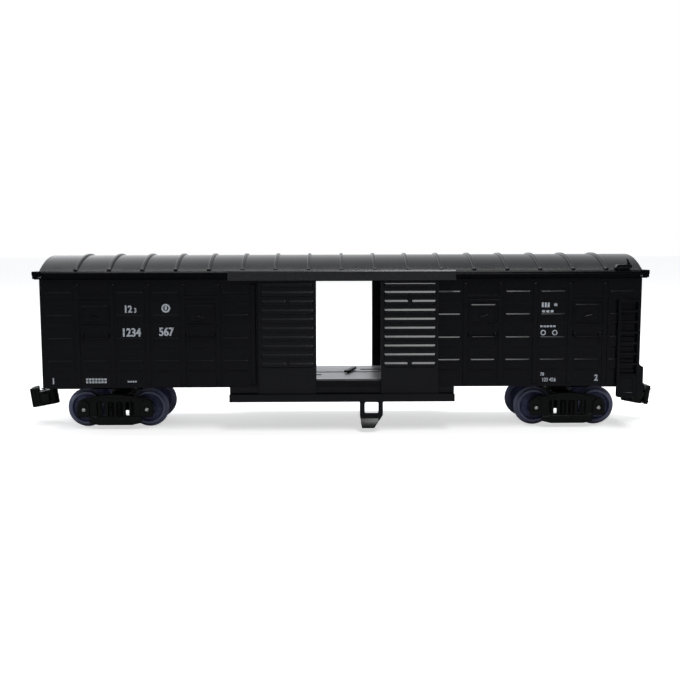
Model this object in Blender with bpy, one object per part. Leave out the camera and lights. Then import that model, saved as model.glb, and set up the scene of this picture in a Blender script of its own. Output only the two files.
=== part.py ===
"""Covered goods wagon of an HO toy railway (scale 1:87), in metres, +Z up.

+X runs along the wagon, -Y is its front side, and Z = 0 is the surface under the wheel flanges.
All sizes below are in millimetres; MM turns them into metres where a mesh is made.
"""
import math

import bmesh
import bpy
from mathutils import Matrix, Vector

MM = 0.001
GAP = 0.3                       # air left between two pieces that touch

# body shell
BODY_HALF_LENGTH = 93.0
BODY_HALF_WIDTH = 17.0
WALL = 1.0
WALL_BOTTOM = 13.9
WALL_TOP = 47.6
DOORWAY_HALF = 17.25
DOORWAY_BOTTOM = 15.9
DOORWAY_TOP = 46.9

# raised pattern of the side walls
RELIEF = 0.3                    # how far posts, pads and vents stand proud
SINK = 0.4                      # how far a raised shape reaches into the wall it grows from
FIRST_POST = 27.5
POST_PITCH = 10.85
POST_COUNT = 6
POST_WIDTH = 1.7
PAD_WIDTH = 7.7
PAD_HEIGHT = 3.3
PAD_ROWS = (41.9, 34.8, 27.6, 20.6)
VENT_PANELS = (1, 4)
VENT_BOTTOM = 34.6
VENT_TOP = 39.6
DRIP_RAIL_Z = 41.7
BRACKET_Z = 29.2

# roof
EAVE_HALF_WIDTH = 18.5
EAVE_BOTTOM = WALL_TOP + GAP
EAVE_TOP = 50.1
EAVE_END = 94.8
ROOF_HALF_WIDTH = 17.3
ROOF_CREST = 54.8
ROOF_THICKNESS = 1.2
ROOF_END = 92.8
ROOF_RIB_COUNT = 17
ROOF_RIB_PITCH = 10.2
ROOF_RIB_WIDTH = 1.1
ROOF_RIB_HEIGHT = 0.5
ARC_STEPS = 12

# doors and their tracks
TRACK_HALF_LENGTH = 35.0
TRACK_FACE = 19.0
LIP_BACK = 18.5
CANOPY_TOP = 50.4
CANOPY_BOTTOM = 47.2
SILL_BOTTOM = 9.5
SILL_LIP = 11.9
SILL_FLOOR = 11.1
SILL_BACK = 16.2
DOOR_WIDTH = 17.9
DOOR_BACK = 17.6
DOOR_FACE = 18.3
DOOR_RIB_FACE = 18.7
DOOR_BOTTOM = 11.4
DOOR_TOP = 47.6
DOOR_RIB_COUNT = 10
DOOR_RIB_PITCH = 2.76
DOOR_RIB_TOP = 46.8
DOOR_RIB_MARGIN = 0.9
DOOR_PANEL_TOP = 19.0
DOOR_CENTRES = {
    "door_front_left": (-16.9, -1),
    "door_front_right": (20.95, -1),
    "door_rear_left": (-22.6, 1),
    "door_rear_right": (19.9, 1),
}

# underframe, ballast
FLOOR_TOP = 15.0
BEARER_PLACES = (-45.0, -28.0, 28.0, 45.0)
BEARER_HALF_WIDTH = 0.8
BEARER_HALF_LENGTH = 8.0
BEARER_BOTTOM = 12.6
CENTRE_SILL_HALF_LENGTH = 60.0
CENTRE_SILL_HALF_WIDTH = 3.0
CENTRE_SILL_BOTTOM = 11.7
BOSS_BOTTOM = 12.9
BOSS_RADIUS = 4.0
BALLAST_TOP = 16.2
BALLAST_HALF_LENGTH = 60.0

# bogies
BOGIE_X = 71.75
HALF_WHEELBASE = 9.95
AXLE_Z = 6.25
SIDEFRAME_INNER = 11.9
SIDEFRAME_OUTER = 13.3
BOLSTER_BOTTOM = 8.5
BOLSTER_TOP = 10.6
BOLSTER_HALF_LENGTH = 3.5
WINDOW_BOTTOM = 4.4
WINDOW_TOP = 8.4
# Openings on each half of a sideframe: middle, half width and depth reached; the second goes through.
WINDOWS = ((1.35, 0.7, 12.7), (4.0, 0.5, 11.0), (5.4, 0.35, 12.7))
DRAWBAR_BOTTOM = 11.2
DRAWBAR_TOP = 12.6
PIVOT_HOLE = 1.5
PIVOT_SCREW = 1.2

# wheelsets
FLANGE_RADIUS = 6.25
TREAD_RADIUS = 5.25
WHEEL_BACK = 7.2                # from the wagon's middle: 14.4 between the backs, for 16.5 gauge
WHEEL_WIDTH = 2.0
HUB_PROUD = 0.3
AXLE_RADIUS = 1.0
JOURNAL_RADIUS = 0.55
WHEEL_SIDES = 24

# couplers, measured outwards from the pivot
COUPLER_PIVOT = 23.65           # from the bogie's centre
COUPLER_BOTTOM = 6.2
COUPLER_TOP = 10.9
COUPLER_DROOP = math.radians(8.0)
EYE_RADIUS = 1.9
EYE_BORE = 1.2
KNUCKLE_PIVOT = Vector((3.0, -1.9))
KNUCKLE_BORE = 0.7
KNUCKLE_BOTTOM = 6.2
KNUCKLE_TOP = 12.4
KNUCKLE_BACK = 4.8
KNUCKLE_FACE = 6.3
KNUCKLE_EAR = 1.15
KNUCKLE_SLOT_BOTTOM = 8.0
KNUCKLE_SLOT_TOP = 10.2
SLOT_PLAY = 0.3


# corner ladder, drawn for the front right corner
LADDER_LEFT = 85.5
LADDER_RIGHT = 92.4
LADDER_TOP = 41.0
LADDER_BOTTOM = 10.2
LADDER_FOOT_END = 93.8
LADDER_RAIL = 0.9
LADDER_DEPTH = 0.8
RUNG_COUNT = 7
RUNG_PITCH = 3.3
RUNG_HEIGHT = 0.7

# roof step over the ladder
STEP_LEFT = 84.3
STEP_RIGHT = 89.4
STEP_FRONT = -18.3
STEP_BACK = -16.2
STEP_BOTTOM = 50.8
STEP_TOP = 51.8
STEP_FEET = (85.4, 88.4)


def clear_scene():
    for old in list(bpy.data.objects):
        bpy.data.objects.remove(old)


def make_material(name, colour, roughness, metallic):
    material = bpy.data.materials.new(name)
    material.use_nodes = True
    shader = material.node_tree.nodes["Principled BSDF"]
    shader.inputs["Base Color"].default_value = (*colour, 1.0)
    shader.inputs["Roughness"].default_value = roughness
    shader.inputs["Metallic"].default_value = metallic
    return material


def add_box(bm, low, high):
    """Add one box between two opposite corners, in millimetres."""
    low = Vector(low) * MM
    high = Vector(high) * MM
    size = high - low
    frame = Matrix.Translation((low + high) / 2) @ Matrix.Diagonal((*size, 1.0))
    bmesh.ops.create_cube(bm, size=1.0, matrix=frame)


def add_prism(bm, outline, axis, start, end):
    """Extrude a closed outline along X, Y or Z; it lists the other two coordinates in order."""
    def point(pair, depth):
        a, b = pair
        placed = {"X": (depth, a, b), "Y": (a, depth, b), "Z": (a, b, depth)}[axis]
        return Vector(placed) * MM

    first = [bm.verts.new(point(pair, start)) for pair in outline]
    last = [bm.verts.new(point(pair, end)) for pair in outline]
    bm.faces.new(first)
    bm.faces.new(last)
    for i in range(len(outline)):
        j = (i + 1) % len(outline)
        bm.faces.new((first[i], first[j], last[j], last[i]))


def circle(centre, radius, sides, turn=0.0):
    """Points of a regular polygon round a centre."""
    angles = [turn + 2 * math.pi * i / sides for i in range(sides)]
    return [(centre[0] + radius * math.cos(a), centre[1] + radius * math.sin(a)) for a in angles]


def add_lathe(bm, profile, axis, sides):
    """Turn a closed profile of (radius, position) about Y or Z, with a flat at the very bottom."""
    turn = math.pi / sides
    rings = []
    for i in range(sides):
        angle = turn + 2 * math.pi * i / sides
        ring = []
        for radius, along in profile:
            across = (radius * math.sin(angle), radius * math.cos(angle))
            placed = (across[0], along, across[1]) if axis == "Y" else (across[0], across[1], along)
            ring.append(bm.verts.new(Vector(placed) * MM))
        rings.append(ring)
    count = len(profile)
    for i in range(sides):
        here = rings[i]
        beyond = rings[(i + 1) % sides]
        for k in range(count):
            m = (k + 1) % count
            bm.faces.new((here[k], here[m], beyond[m], beyond[k]))


def add_rod(bm, steps, axis, sides):
    """Make a solid stepped rod from (radius, start, end) steps that follow each other."""
    points = []
    for radius, start, end in steps:
        points.append((radius, start))
        points.append((radius, end))
    rings = []
    for radius, along in points:
        ring = []
        for across in circle((0, 0), radius, sides, math.pi / sides):
            placed = (across[0], along, across[1]) if axis == "Y" else (across[0], across[1], along)
            ring.append(bm.verts.new(Vector(placed) * MM))
        rings.append(ring)
    bm.faces.new(rings[0])
    bm.faces.new(rings[-1])
    for here, beyond in zip(rings, rings[1:]):
        for i in range(sides):
            j = (i + 1) % sides
            bm.faces.new((here[i], here[j], beyond[j], beyond[i]))


def make_object(name, bm, material, place=(0, 0, 0), turn=(0, 0, 0)):
    bmesh.ops.recalc_face_normals(bm, faces=bm.faces[:])
    mesh = bpy.data.meshes.new(name)
    bm.to_mesh(mesh)
    bm.free()
    mesh.materials.append(material)
    piece = bpy.data.objects.new(name, mesh)
    bpy.context.scene.collection.objects.link(piece)
    piece.location = Vector(place) * MM
    piece.rotation_euler = turn
    return piece


def shape_with(piece, bm, operation):
    """Join a guide shape to a piece, or cut it out, in the piece's own coordinates."""
    label = f"{piece.name}_{operation.lower()}_{len(piece.modifiers)}"
    guide = make_object(label, bm, piece.data.materials[0])
    guide.parent = piece
    guide.display_type = "WIRE"
    guide.hide_render = True
    modifier = piece.modifiers.new(label, "BOOLEAN")
    modifier.operation = operation
    modifier.object = guide
    modifier.solver = "EXACT"


def panel_centres():
    """Distances from the middle of the wagon to the centres of the wall panels of one half."""
    return [FIRST_POST + POST_PITCH * (k + 0.5) for k in range(POST_COUNT)]


def add_wall_box(bm, side, x_range, z_range, proud=RELIEF):
    """Add a raised box on the front (side -1) or rear (side 1) wall."""
    face = sorted((side * (BODY_HALF_WIDTH - SINK), side * (BODY_HALF_WIDTH + proud)))
    low_x, high_x = sorted(x_range)
    add_box(bm, (low_x, face[0], z_range[0]), (high_x, face[1], z_range[1]))


def wall_relief():
    """Posts, pads, vents and bracket bars of all four wall halves."""
    bm = bmesh.new()
    for side in (-1, 1):
        for half in (-1, 1):
            for k in range(POST_COUNT):
                x = half * (FIRST_POST + POST_PITCH * k)
                add_wall_box(bm, side, (x - POST_WIDTH / 2, x + POST_WIDTH / 2), (14.4, 47.1))
            for k, centre in enumerate(panel_centres()):
                x = half * centre
                rows = PAD_ROWS[3:] if k in VENT_PANELS else PAD_ROWS
                for z in rows:
                    add_wall_box(bm, side, (x - PAD_WIDTH / 2, x + PAD_WIDTH / 2),
                                 (z - PAD_HEIGHT / 2, z + PAD_HEIGHT / 2))
                if k in VENT_PANELS:
                    add_wall_box(bm, side, (x - 4.0, x + 4.0), (VENT_BOTTOM, VENT_TOP))
                    add_wall_box(bm, side, (x - 4.2, x + 4.2), (DRIP_RAIL_Z - 0.7, DRIP_RAIL_Z + 0.7))
                    add_wall_box(bm, side, (x - 3.6, x + 3.6), (BRACKET_Z - 0.4, BRACKET_Z + 0.4))
    return bm


def body_shell(material):
    bm = bmesh.new()
    add_box(bm, (-BODY_HALF_LENGTH, -BODY_HALF_WIDTH, WALL_BOTTOM),
            (BODY_HALF_LENGTH, BODY_HALF_WIDTH, WALL_TOP))
    shell = make_object("body_shell", bm, material)
    shape_with(shell, wall_relief(), "UNION")
    inside = bmesh.new()
    add_box(inside, (WALL - BODY_HALF_LENGTH, WALL - BODY_HALF_WIDTH, WALL_BOTTOM - 2),
            (BODY_HALF_LENGTH - WALL, BODY_HALF_WIDTH - WALL, WALL_TOP + 2))
    shape_with(shell, inside, "DIFFERENCE")
    doorway = bmesh.new()
    add_box(doorway, (-DOORWAY_HALF, -BODY_HALF_WIDTH - 2, DOORWAY_BOTTOM),
            (DOORWAY_HALF, BODY_HALF_WIDTH + 2, DOORWAY_TOP))
    shape_with(shell, doorway, "DIFFERENCE")


def roof_arc(offset, half_width):
    """Points of the roof's arch from -Y to +Y, moved outwards by an offset."""
    rise = ROOF_CREST - EAVE_TOP
    radius = (ROOF_HALF_WIDTH ** 2 + rise ** 2) / (2 * rise)
    centre_z = ROOF_CREST - radius
    reach = radius + offset
    limit = math.asin(half_width / reach)
    angles = [limit * (2 * i / ARC_STEPS - 1) for i in range(ARC_STEPS + 1)]
    return [(reach * math.sin(a), centre_z + reach * math.cos(a)) for a in angles]


def roof(material):
    """Arched roof with cross ribs, eaves, closed gables and a grooved fascia at each end."""
    lip_in = BODY_HALF_WIDTH - WALL - GAP - 0.7
    lip_out = BODY_HALF_WIDTH - WALL - GAP
    outline = [(-EAVE_HALF_WIDTH, EAVE_BOTTOM), (-EAVE_HALF_WIDTH, EAVE_TOP)]
    outline += roof_arc(0, ROOF_HALF_WIDTH)
    outline += [(EAVE_HALF_WIDTH, EAVE_TOP), (EAVE_HALF_WIDTH, EAVE_BOTTOM)]
    outline += [(lip_out, EAVE_BOTTOM), (lip_out, DOORWAY_TOP), (lip_in, DOORWAY_TOP)]
    outline += reversed(roof_arc(-ROOF_THICKNESS, lip_in))
    outline += [(-lip_in, DOORWAY_TOP), (-lip_out, DOORWAY_TOP), (-lip_out, EAVE_BOTTOM)]
    bm = bmesh.new()
    add_prism(bm, outline, "X", -ROOF_END, ROOF_END)
    cover = make_object("roof", bm, material)

    ribs = bmesh.new()
    for k in range(ROOF_RIB_COUNT):
        x = ROOF_RIB_PITCH * (k - (ROOF_RIB_COUNT - 1) / 2)
        band = roof_arc(ROOF_RIB_HEIGHT, ROOF_HALF_WIDTH + 0.1)
        band += reversed(roof_arc(-SINK, ROOF_HALF_WIDTH - 0.3))
        add_prism(ribs, band, "X", x - ROOF_RIB_WIDTH / 2, x + ROOF_RIB_WIDTH / 2)
    shape_with(cover, ribs, "UNION")

    ends = bmesh.new()
    for half in (-1, 1):
        gable = [(-15.8, EAVE_BOTTOM + 0.2)] + roof_arc(-0.6, 15.8) + [(15.8, EAVE_BOTTOM + 0.2)]
        add_prism(ends, gable, "X", half * 91.6, half * 92.5)
    shape_with(cover, ends, "UNION")

    trim = bmesh.new()
    for half in (-1, 1):
        low_x, high_x = sorted((half * 92.3, half * EAVE_END))
        add_box(trim, (low_x, -EAVE_HALF_WIDTH, EAVE_BOTTOM), (high_x, EAVE_HALF_WIDTH, EAVE_TOP))
    shape_with(cover, trim, "UNION")

    tracks = bmesh.new()
    for side in (-1, 1):
        root = EAVE_HALF_WIDTH - 0.2
        half_profile = [(root, EAVE_BOTTOM + 0.3), (LIP_BACK, EAVE_BOTTOM + 0.3), (LIP_BACK, CANOPY_BOTTOM),
                        (TRACK_FACE, CANOPY_BOTTOM), (TRACK_FACE, CANOPY_TOP - 0.4),
                        (TRACK_FACE - 0.4, CANOPY_TOP), (root, CANOPY_TOP)]
        profile = [(side * y, z) for y, z in half_profile]
        add_prism(tracks, profile, "X", -TRACK_HALF_LENGTH, TRACK_HALF_LENGTH)
    shape_with(cover, tracks, "UNION")

    clearances = bmesh.new()
    for half in (-1, 1):
        low_x, high_x = sorted((half * (BODY_HALF_LENGTH - WALL - GAP), half * BODY_HALF_LENGTH))
        add_box(clearances, (low_x, -16.5, DOORWAY_TOP - 1), (high_x, 16.5, EAVE_BOTTOM))
        low_x, high_x = sorted((half * 93.5, half * 96))
        add_box(clearances, (low_x, -20, 48.3), (high_x, 20, 48.8))
    shape_with(cover, clearances, "DIFFERENCE")


def underframe(material):
    """Floor with its centre sill, cross bearers and the two bosses that the bogies turn on."""
    half_length = BODY_HALF_LENGTH - WALL - GAP
    half_width = BODY_HALF_WIDTH - WALL - GAP
    bm = bmesh.new()
    add_box(bm, (-half_length, -half_width, WALL_BOTTOM), (half_length, half_width, FLOOR_TOP))
    frame = make_object("underframe", bm, material)
    spine = bmesh.new()
    add_box(spine, (-CENTRE_SILL_HALF_LENGTH, -CENTRE_SILL_HALF_WIDTH, CENTRE_SILL_BOTTOM),
            (CENTRE_SILL_HALF_LENGTH, CENTRE_SILL_HALF_WIDTH, WALL_BOTTOM + 0.5))
    for half in (-1, 1):
        add_prism(spine, circle((half * BOGIE_X, 0), BOSS_RADIUS, 24), "Z", BOSS_BOTTOM, WALL_BOTTOM + 0.5)
    shape_with(frame, spine, "UNION")
    bearers = bmesh.new()
    for x in BEARER_PLACES:
        add_box(bearers, (x - BEARER_HALF_WIDTH, -BEARER_HALF_LENGTH, BEARER_BOTTOM),
                (x + BEARER_HALF_WIDTH, BEARER_HALF_LENGTH, WALL_BOTTOM + 0.3))
    shape_with(frame, bearers, "UNION")
    holes = bmesh.new()
    for half in (-1, 1):
        add_prism(holes, circle((half * BOGIE_X, 0), PIVOT_HOLE, 16), "Z", 12, 16)
    shape_with(frame, holes, "DIFFERENCE")


def ballast(steel, plastic):
    """Two steel strips on the floor, and the turned clip in the gap between them."""
    for name, side in (("ballast_strip_front", -1), ("ballast_strip_rear", 1)):
        low_y, high_y = sorted((side * 1.0, side * 15.6))
        bm = bmesh.new()
        add_box(bm, (-BALLAST_HALF_LENGTH, low_y, FLOOR_TOP + GAP),
                (BALLAST_HALF_LENGTH, high_y, BALLAST_TOP))
        strip = make_object(name, bm, steel)
        slot = bmesh.new()
        low_y, high_y = sorted((side * 5.0, side * 7.2))
        add_box(slot, (side * 11.0 - 4.5, low_y, FLOOR_TOP), (side * 11.0 + 4.5, high_y, BALLAST_TOP + 1))
        shape_with(strip, slot, "DIFFERENCE")
    bm = bmesh.new()
    add_box(bm, (-4.9, -0.65, BALLAST_TOP + GAP), (4.9, 0.65, BALLAST_TOP + 1.0))
    clip = make_object("ballast_clip", bm, plastic, (3.0, 1.0, 0), (0, 0, math.radians(72)))
    stud = bmesh.new()
    add_prism(stud, circle((-1.0, 0), 0.65, 12), "Z", FLOOR_TOP + GAP, BALLAST_TOP + 0.7)
    shape_with(clip, stud, "UNION")


def door(name, material):
    """Sliding door: a plate with sloped ribs, a plain lower panel and two latch lugs."""
    centre_x, side = DOOR_CENTRES[name]
    half = DOOR_WIDTH / 2
    bm = bmesh.new()
    add_box(bm, (-half, -DOOR_FACE, DOOR_BOTTOM), (half, -DOOR_BACK, DOOR_TOP))
    turn = (0, 0, 0) if side < 0 else (0, 0, math.pi)
    panel = make_object(name, bm, material, (centre_x, 0, 0), turn)
    ribs = bmesh.new()
    root = -(DOOR_FACE - SINK)
    for k in range(DOOR_RIB_COUNT):
        top = DOOR_RIB_TOP - DOOR_RIB_PITCH * k
        outline = [(root, top), (-DOOR_FACE, top), (-DOOR_RIB_FACE, top - 0.5),
                   (-DOOR_RIB_FACE, top - 1.5), (-DOOR_FACE, top - 1.8), (root, top - 1.8)]
        add_prism(ribs, outline, "X", -half + DOOR_RIB_MARGIN, half - DOOR_RIB_MARGIN)
    add_box(ribs, (-half + 0.5, -DOOR_FACE - 0.2, SILL_LIP + GAP), (half - 0.5, root, DOOR_PANEL_TOP))
    shape_with(panel, ribs, "UNION")
    lugs = bmesh.new()
    for k in (2, 9):
        top = DOOR_RIB_TOP - DOOR_RIB_PITCH * k
        add_box(lugs, (-0.5, -DOOR_RIB_FACE - 0.2, top - 1.6), (0.5, root, top + 0.4))
    shape_with(panel, lugs, "UNION")


def door_sill(name, material, side, with_step):
    """Lower door rail; the front one carries a step loop with a curled foot."""
    outline = [(-TRACK_FACE, SILL_BOTTOM), (-SILL_BACK, SILL_BOTTOM), (-SILL_BACK, WALL_BOTTOM - GAP),
               (-BODY_HALF_WIDTH - 0.3, WALL_BOTTOM - GAP), (-BODY_HALF_WIDTH - 0.3, SILL_FLOOR),
               (-LIP_BACK, SILL_FLOOR), (-LIP_BACK, SILL_LIP), (-TRACK_FACE, SILL_LIP)]
    bm = bmesh.new()
    add_prism(bm, outline, "X", -TRACK_HALF_LENGTH, TRACK_HALF_LENGTH)
    turn = (0, 0, 0) if side < 0 else (0, 0, math.pi)
    sill = make_object(name, bm, material, (0, 0, 0), turn)
    if not with_step:
        return
    loop = bmesh.new()
    face = [(5.5, SILL_BOTTOM + 0.6), (5.5, 4.9), (6.3, 1.5), (9.7, 1.4), (11.6, 3.2), (12.7, 5.0),
            (12.7, SILL_BOTTOM + 0.6)]
    add_prism(loop, face, "Y", -18.7, -17.7)
    shape_with(sill, loop, "UNION")
    foot = bmesh.new()
    add_prism(foot, [(-18.2, 2.6), (-18.95, 1.3), (-18.2, 1.3)], "X", 6.5, 9.6)
    shape_with(sill, foot, "UNION")
    eye = bmesh.new()
    add_box(eye, (7.0, -20, 5.8), (11.3, -17, SILL_BOTTOM - 0.1))
    shape_with(sill, eye, "DIFFERENCE")


def sideframe_outline():
    """Outline of a bogie sideframe: arched top, rounded axle boxes and a sagging middle."""
    top = [(-12.0, 7.4), (-11.4, 9.0), (-9.5, 9.9), (-5.0, 10.9), (0.0, 11.2)]
    bottom = [(-12.0, 5.0), (-11.2, 4.0), (-8.2, 3.8), (-6.2, 3.4), (-5.0, 2.0), (-3.2, 1.5)]
    left = list(reversed(bottom)) + top
    right = [(-x, z) for x, z in reversed(left) if x < 0]
    return left + right


def bogie_frame(name, material, end):
    """Four-wheel bogie frame with its drawbar; +X is outwards before it is turned to its end."""
    bm = bmesh.new()
    bolster_reach = SIDEFRAME_INNER + 0.5
    add_box(bm, (-BOLSTER_HALF_LENGTH, -bolster_reach, BOLSTER_BOTTOM),
            (BOLSTER_HALF_LENGTH, bolster_reach, BOLSTER_TOP))
    turn = (0, 0, 0) if end > 0 else (0, 0, math.pi)
    frame = make_object(name, bm, material, (end * BOGIE_X, 0, 0), turn)
    sides = bmesh.new()
    for side in (-1, 1):
        add_prism(sides, sideframe_outline(), "Y", side * SIDEFRAME_INNER, side * SIDEFRAME_OUTER)
    shape_with(frame, sides, "UNION")
    pad = bmesh.new()
    add_prism(pad, circle((0, 0), 3.8, 24), "Z", BOLSTER_BOTTOM + 0.4, DRAWBAR_TOP)
    shape_with(frame, pad, "UNION")
    bar = bmesh.new()
    bar_end = [(COUPLER_PIVOT + 2.2 * math.cos(a), 2.2 * math.sin(a))
               for a in (math.radians(-60 + 30 * i) for i in range(5))]
    root = COUPLER_PIVOT - 1
    add_prism(bar, [(0.5, -2.6), (root, -2.6)] + bar_end + [(root, 2.6), (0.5, 2.6)],
              "Z", DRAWBAR_BOTTOM, DRAWBAR_TOP - 0.1)
    shape_with(frame, bar, "UNION")
    cuts = bmesh.new()
    add_prism(cuts, circle((0, 0), PIVOT_HOLE, 16), "Z", 7, 14)
    add_prism(cuts, circle((COUPLER_PIVOT, 0), 1.1, 12), "Z", 10, 14)
    for x in (-HALF_WHEELBASE, HALF_WHEELBASE):
        add_prism(cuts, circle((x, AXLE_Z), JOURNAL_RADIUS + GAP, 12), "Y", -15, 15)
    shape_with(frame, cuts, "DIFFERENCE")
    windows = bmesh.new()
    for x, half, inner in WINDOWS:
        for side in (-1, 1):
            low_y, high_y = sorted((side * inner, side * (SIDEFRAME_OUTER + 1)))
            for low_x in (x - half, -x - half):
                add_box(windows, (low_x, low_y, WINDOW_BOTTOM), (low_x + 2 * half, high_y, WINDOW_TOP))
    shape_with(frame, windows, "DIFFERENCE")


def screw(name, material, place, stages):
    """Upright pan-head screw, turned in stages of (radius, bottom, top)."""
    bm = bmesh.new()
    add_rod(bm, stages, "Z", 16)
    make_object(name, bm, material, place)


def wheelset(label, x, wheel_metal, axle_metal):
    """A steel axle with pointed-journal ends and its two flanged wheels."""
    reach = SIDEFRAME_OUTER + 0.1
    bm = bmesh.new()
    shoulder = SIDEFRAME_INNER - 0.6
    add_rod(bm, [(JOURNAL_RADIUS, -reach, -shoulder), (AXLE_RADIUS, -shoulder, shoulder),
                 (JOURNAL_RADIUS, shoulder, reach)], "Y", 12)
    make_object(f"axle_{label}", bm, axle_metal, (x, 0, AXLE_Z))
    to_corner = 1 / math.cos(math.pi / WHEEL_SIDES)
    flange = FLANGE_RADIUS * to_corner
    tread = TREAD_RADIUS * to_corner
    front = WHEEL_BACK + WHEEL_WIDTH
    profile = [(AXLE_RADIUS + GAP, WHEEL_BACK), (flange - 0.2, WHEEL_BACK), (flange, WHEEL_BACK + 0.25),
               (flange - 0.2, WHEEL_BACK + 0.7), (tread, WHEEL_BACK + 1.0), (tread - 0.1, front),
               (tread - 0.9, front), (tread - 1.1, front - 0.8), (2.1, front - 0.8),
               (1.9, front + HUB_PROUD), (AXLE_RADIUS + GAP, front + HUB_PROUD)]
    for place, turn in (("front", math.pi), ("rear", 0.0)):
        bm = bmesh.new()
        add_lathe(bm, profile, "Y", WHEEL_SIDES)
        make_object(f"wheel_{label}_{place}", bm, wheel_metal, (x, 0, AXLE_Z), (0, 0, turn))


def coupler(end_name, end, plastic, steel):
    """Coupler head, swinging knuckle, knuckle pin and pivot screw of one end."""
    place = (end * (BOGIE_X + COUPLER_PIVOT), 0, 0)
    # The head hangs from its eye: it is tilted about the middle of the eye's top face.
    tilt = Matrix.Translation((0, 0, COUPLER_TOP * MM)) @ Matrix.Rotation(COUPLER_DROOP, 4, "Y")
    tilt = tilt @ Matrix.Translation((0, 0, -COUPLER_TOP * MM))
    facing = Matrix.Rotation(math.pi if end < 0 else 0.0, 4, "Z")

    def put(name, bm, material, pivot=(0.0, 0.0)):
        """Place a piece with its origin on its own upright axis."""
        bmesh.ops.translate(bm, verts=bm.verts[:], vec=(-pivot[0] * MM, -pivot[1] * MM, 0))
        piece = make_object(name, bm, material)
        away = Matrix.Translation((pivot[0] * MM, pivot[1] * MM, 0))
        piece.matrix_world = Matrix.Translation(Vector(place) * MM) @ facing @ tilt @ away
        return piece

    around = [math.radians(90 + 30 * i) for i in range(7)]
    eye = [(EYE_RADIUS * math.cos(a), EYE_RADIUS * math.sin(a)) for a in around]
    plan = eye + [(1.2, -2.4), (1.9, -3.2), (3.3, -3.3), (4.1, -2.8), (4.4, -1.9), (4.0, -0.9), (3.0, -0.3),
                  (2.9, 1.0), (3.8, 1.9), (5.9, 2.3), (6.2, 2.9), (5.5, 3.4), (2.7, 3.3), (1.2, 2.4)]
    bm = bmesh.new()
    add_prism(bm, plan, "Z", COUPLER_BOTTOM, COUPLER_TOP)
    head = put(f"coupler_head_{end_name}", bm, plastic)
    guard = bmesh.new()
    add_box(guard, (3.2, 2.4, COUPLER_TOP - SINK), (6.0, 3.3, KNUCKLE_TOP))
    shape_with(head, guard, "UNION")
    cuts = bmesh.new()
    add_prism(cuts, circle((0, 0), EYE_BORE, 12), "Z", COUPLER_BOTTOM - 1, COUPLER_TOP + 1)
    add_prism(cuts, circle(KNUCKLE_PIVOT, KNUCKLE_BORE, 12), "Z", COUPLER_BOTTOM - 1, COUPLER_TOP + 1)
    shape_with(head, cuts, "DIFFERENCE")
    slot = bmesh.new()
    add_box(slot, (KNUCKLE_PIVOT.x - KNUCKLE_EAR - SLOT_PLAY, -5.0, KNUCKLE_SLOT_BOTTOM),
            (6.1, -0.1, KNUCKLE_SLOT_TOP))
    shape_with(head, slot, "DIFFERENCE")

    bm = bmesh.new()
    nose = [(KNUCKLE_BACK, -3.3), (5.8, -3.3), (KNUCKLE_FACE, -2.8), (KNUCKLE_FACE, 0.6),
            (5.9, 1.0), (5.3, 0.8), (KNUCKLE_BACK, -0.4)]
    add_prism(bm, nose, "Z", KNUCKLE_BOTTOM, KNUCKLE_TOP)
    pivot = tuple(KNUCKLE_PIVOT)
    knuckle = put(f"coupler_knuckle_{end_name}", bm, plastic, pivot)
    ear = bmesh.new()
    add_prism(ear, circle((0, 0), KNUCKLE_EAR, 16), "Z", KNUCKLE_SLOT_BOTTOM + SLOT_PLAY,
              KNUCKLE_SLOT_TOP - SLOT_PLAY)
    shape_with(knuckle, ear, "UNION")
    arm = bmesh.new()
    add_box(arm, (0.3, -1.1, KNUCKLE_SLOT_BOTTOM + 0.4), (2.2, 0.9, KNUCKLE_SLOT_TOP - 0.4))
    shape_with(knuckle, arm, "UNION")
    bore = bmesh.new()
    add_prism(bore, circle((0, 0), KNUCKLE_BORE, 12), "Z", COUPLER_BOTTOM, COUPLER_TOP)
    shape_with(knuckle, bore, "DIFFERENCE")

    bm = bmesh.new()
    pin_head = COUPLER_TOP + GAP
    add_rod(bm, [(0.4, COUPLER_BOTTOM, pin_head), (0.9, pin_head, COUPLER_TOP + 0.7)], "Z", 12)
    bmesh.ops.translate(bm, verts=bm.verts[:], vec=(pivot[0] * MM, pivot[1] * MM, 0))
    put(f"knuckle_pin_{end_name}", bm, steel, pivot)
    head_bottom = DRAWBAR_TOP + 0.2
    screw(f"coupler_screw_{end_name}", steel, place,
          [(0.7, 8.4, head_bottom), (1.7, head_bottom, head_bottom + 0.6),
           (1.4, head_bottom + 0.6, head_bottom + 0.8)])


def ladder(name, material, side):
    """Corner ladder with rungs and a foot bracket; drawn for the front right corner, then turned."""
    back = -BODY_HALF_WIDTH - RELIEF - GAP
    face = back - LADDER_DEPTH
    outline = [(LADDER_LEFT, LADDER_TOP), (LADDER_LEFT, LADDER_BOTTOM + 0.7),
               (LADDER_LEFT + 0.4, LADDER_BOTTOM + 0.3), (LADDER_LEFT + 2.1, LADDER_BOTTOM + 0.1),
               (LADDER_FOOT_END, LADDER_BOTTOM), (LADDER_FOOT_END, 20.0),
               (LADDER_RIGHT + 0.3, 20.6), (LADDER_RIGHT, 21.4), (LADDER_RIGHT, LADDER_TOP)]
    bm = bmesh.new()
    add_prism(bm, outline, "Y", face, back)
    turn = (0, 0, 0) if side < 0 else (0, 0, math.pi)
    frame = make_object(name, bm, material, (0, 0, 0), turn)
    bays = bmesh.new()
    for k in range(RUNG_COUNT):
        top = LADDER_TOP - RUNG_HEIGHT - RUNG_PITCH * k
        add_box(bays, (LADDER_LEFT + LADDER_RAIL, face - 1, top - RUNG_PITCH + RUNG_HEIGHT),
                (LADDER_RIGHT - LADDER_RAIL, back + 1, top))
    shape_with(frame, bays, "DIFFERENCE")


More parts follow.
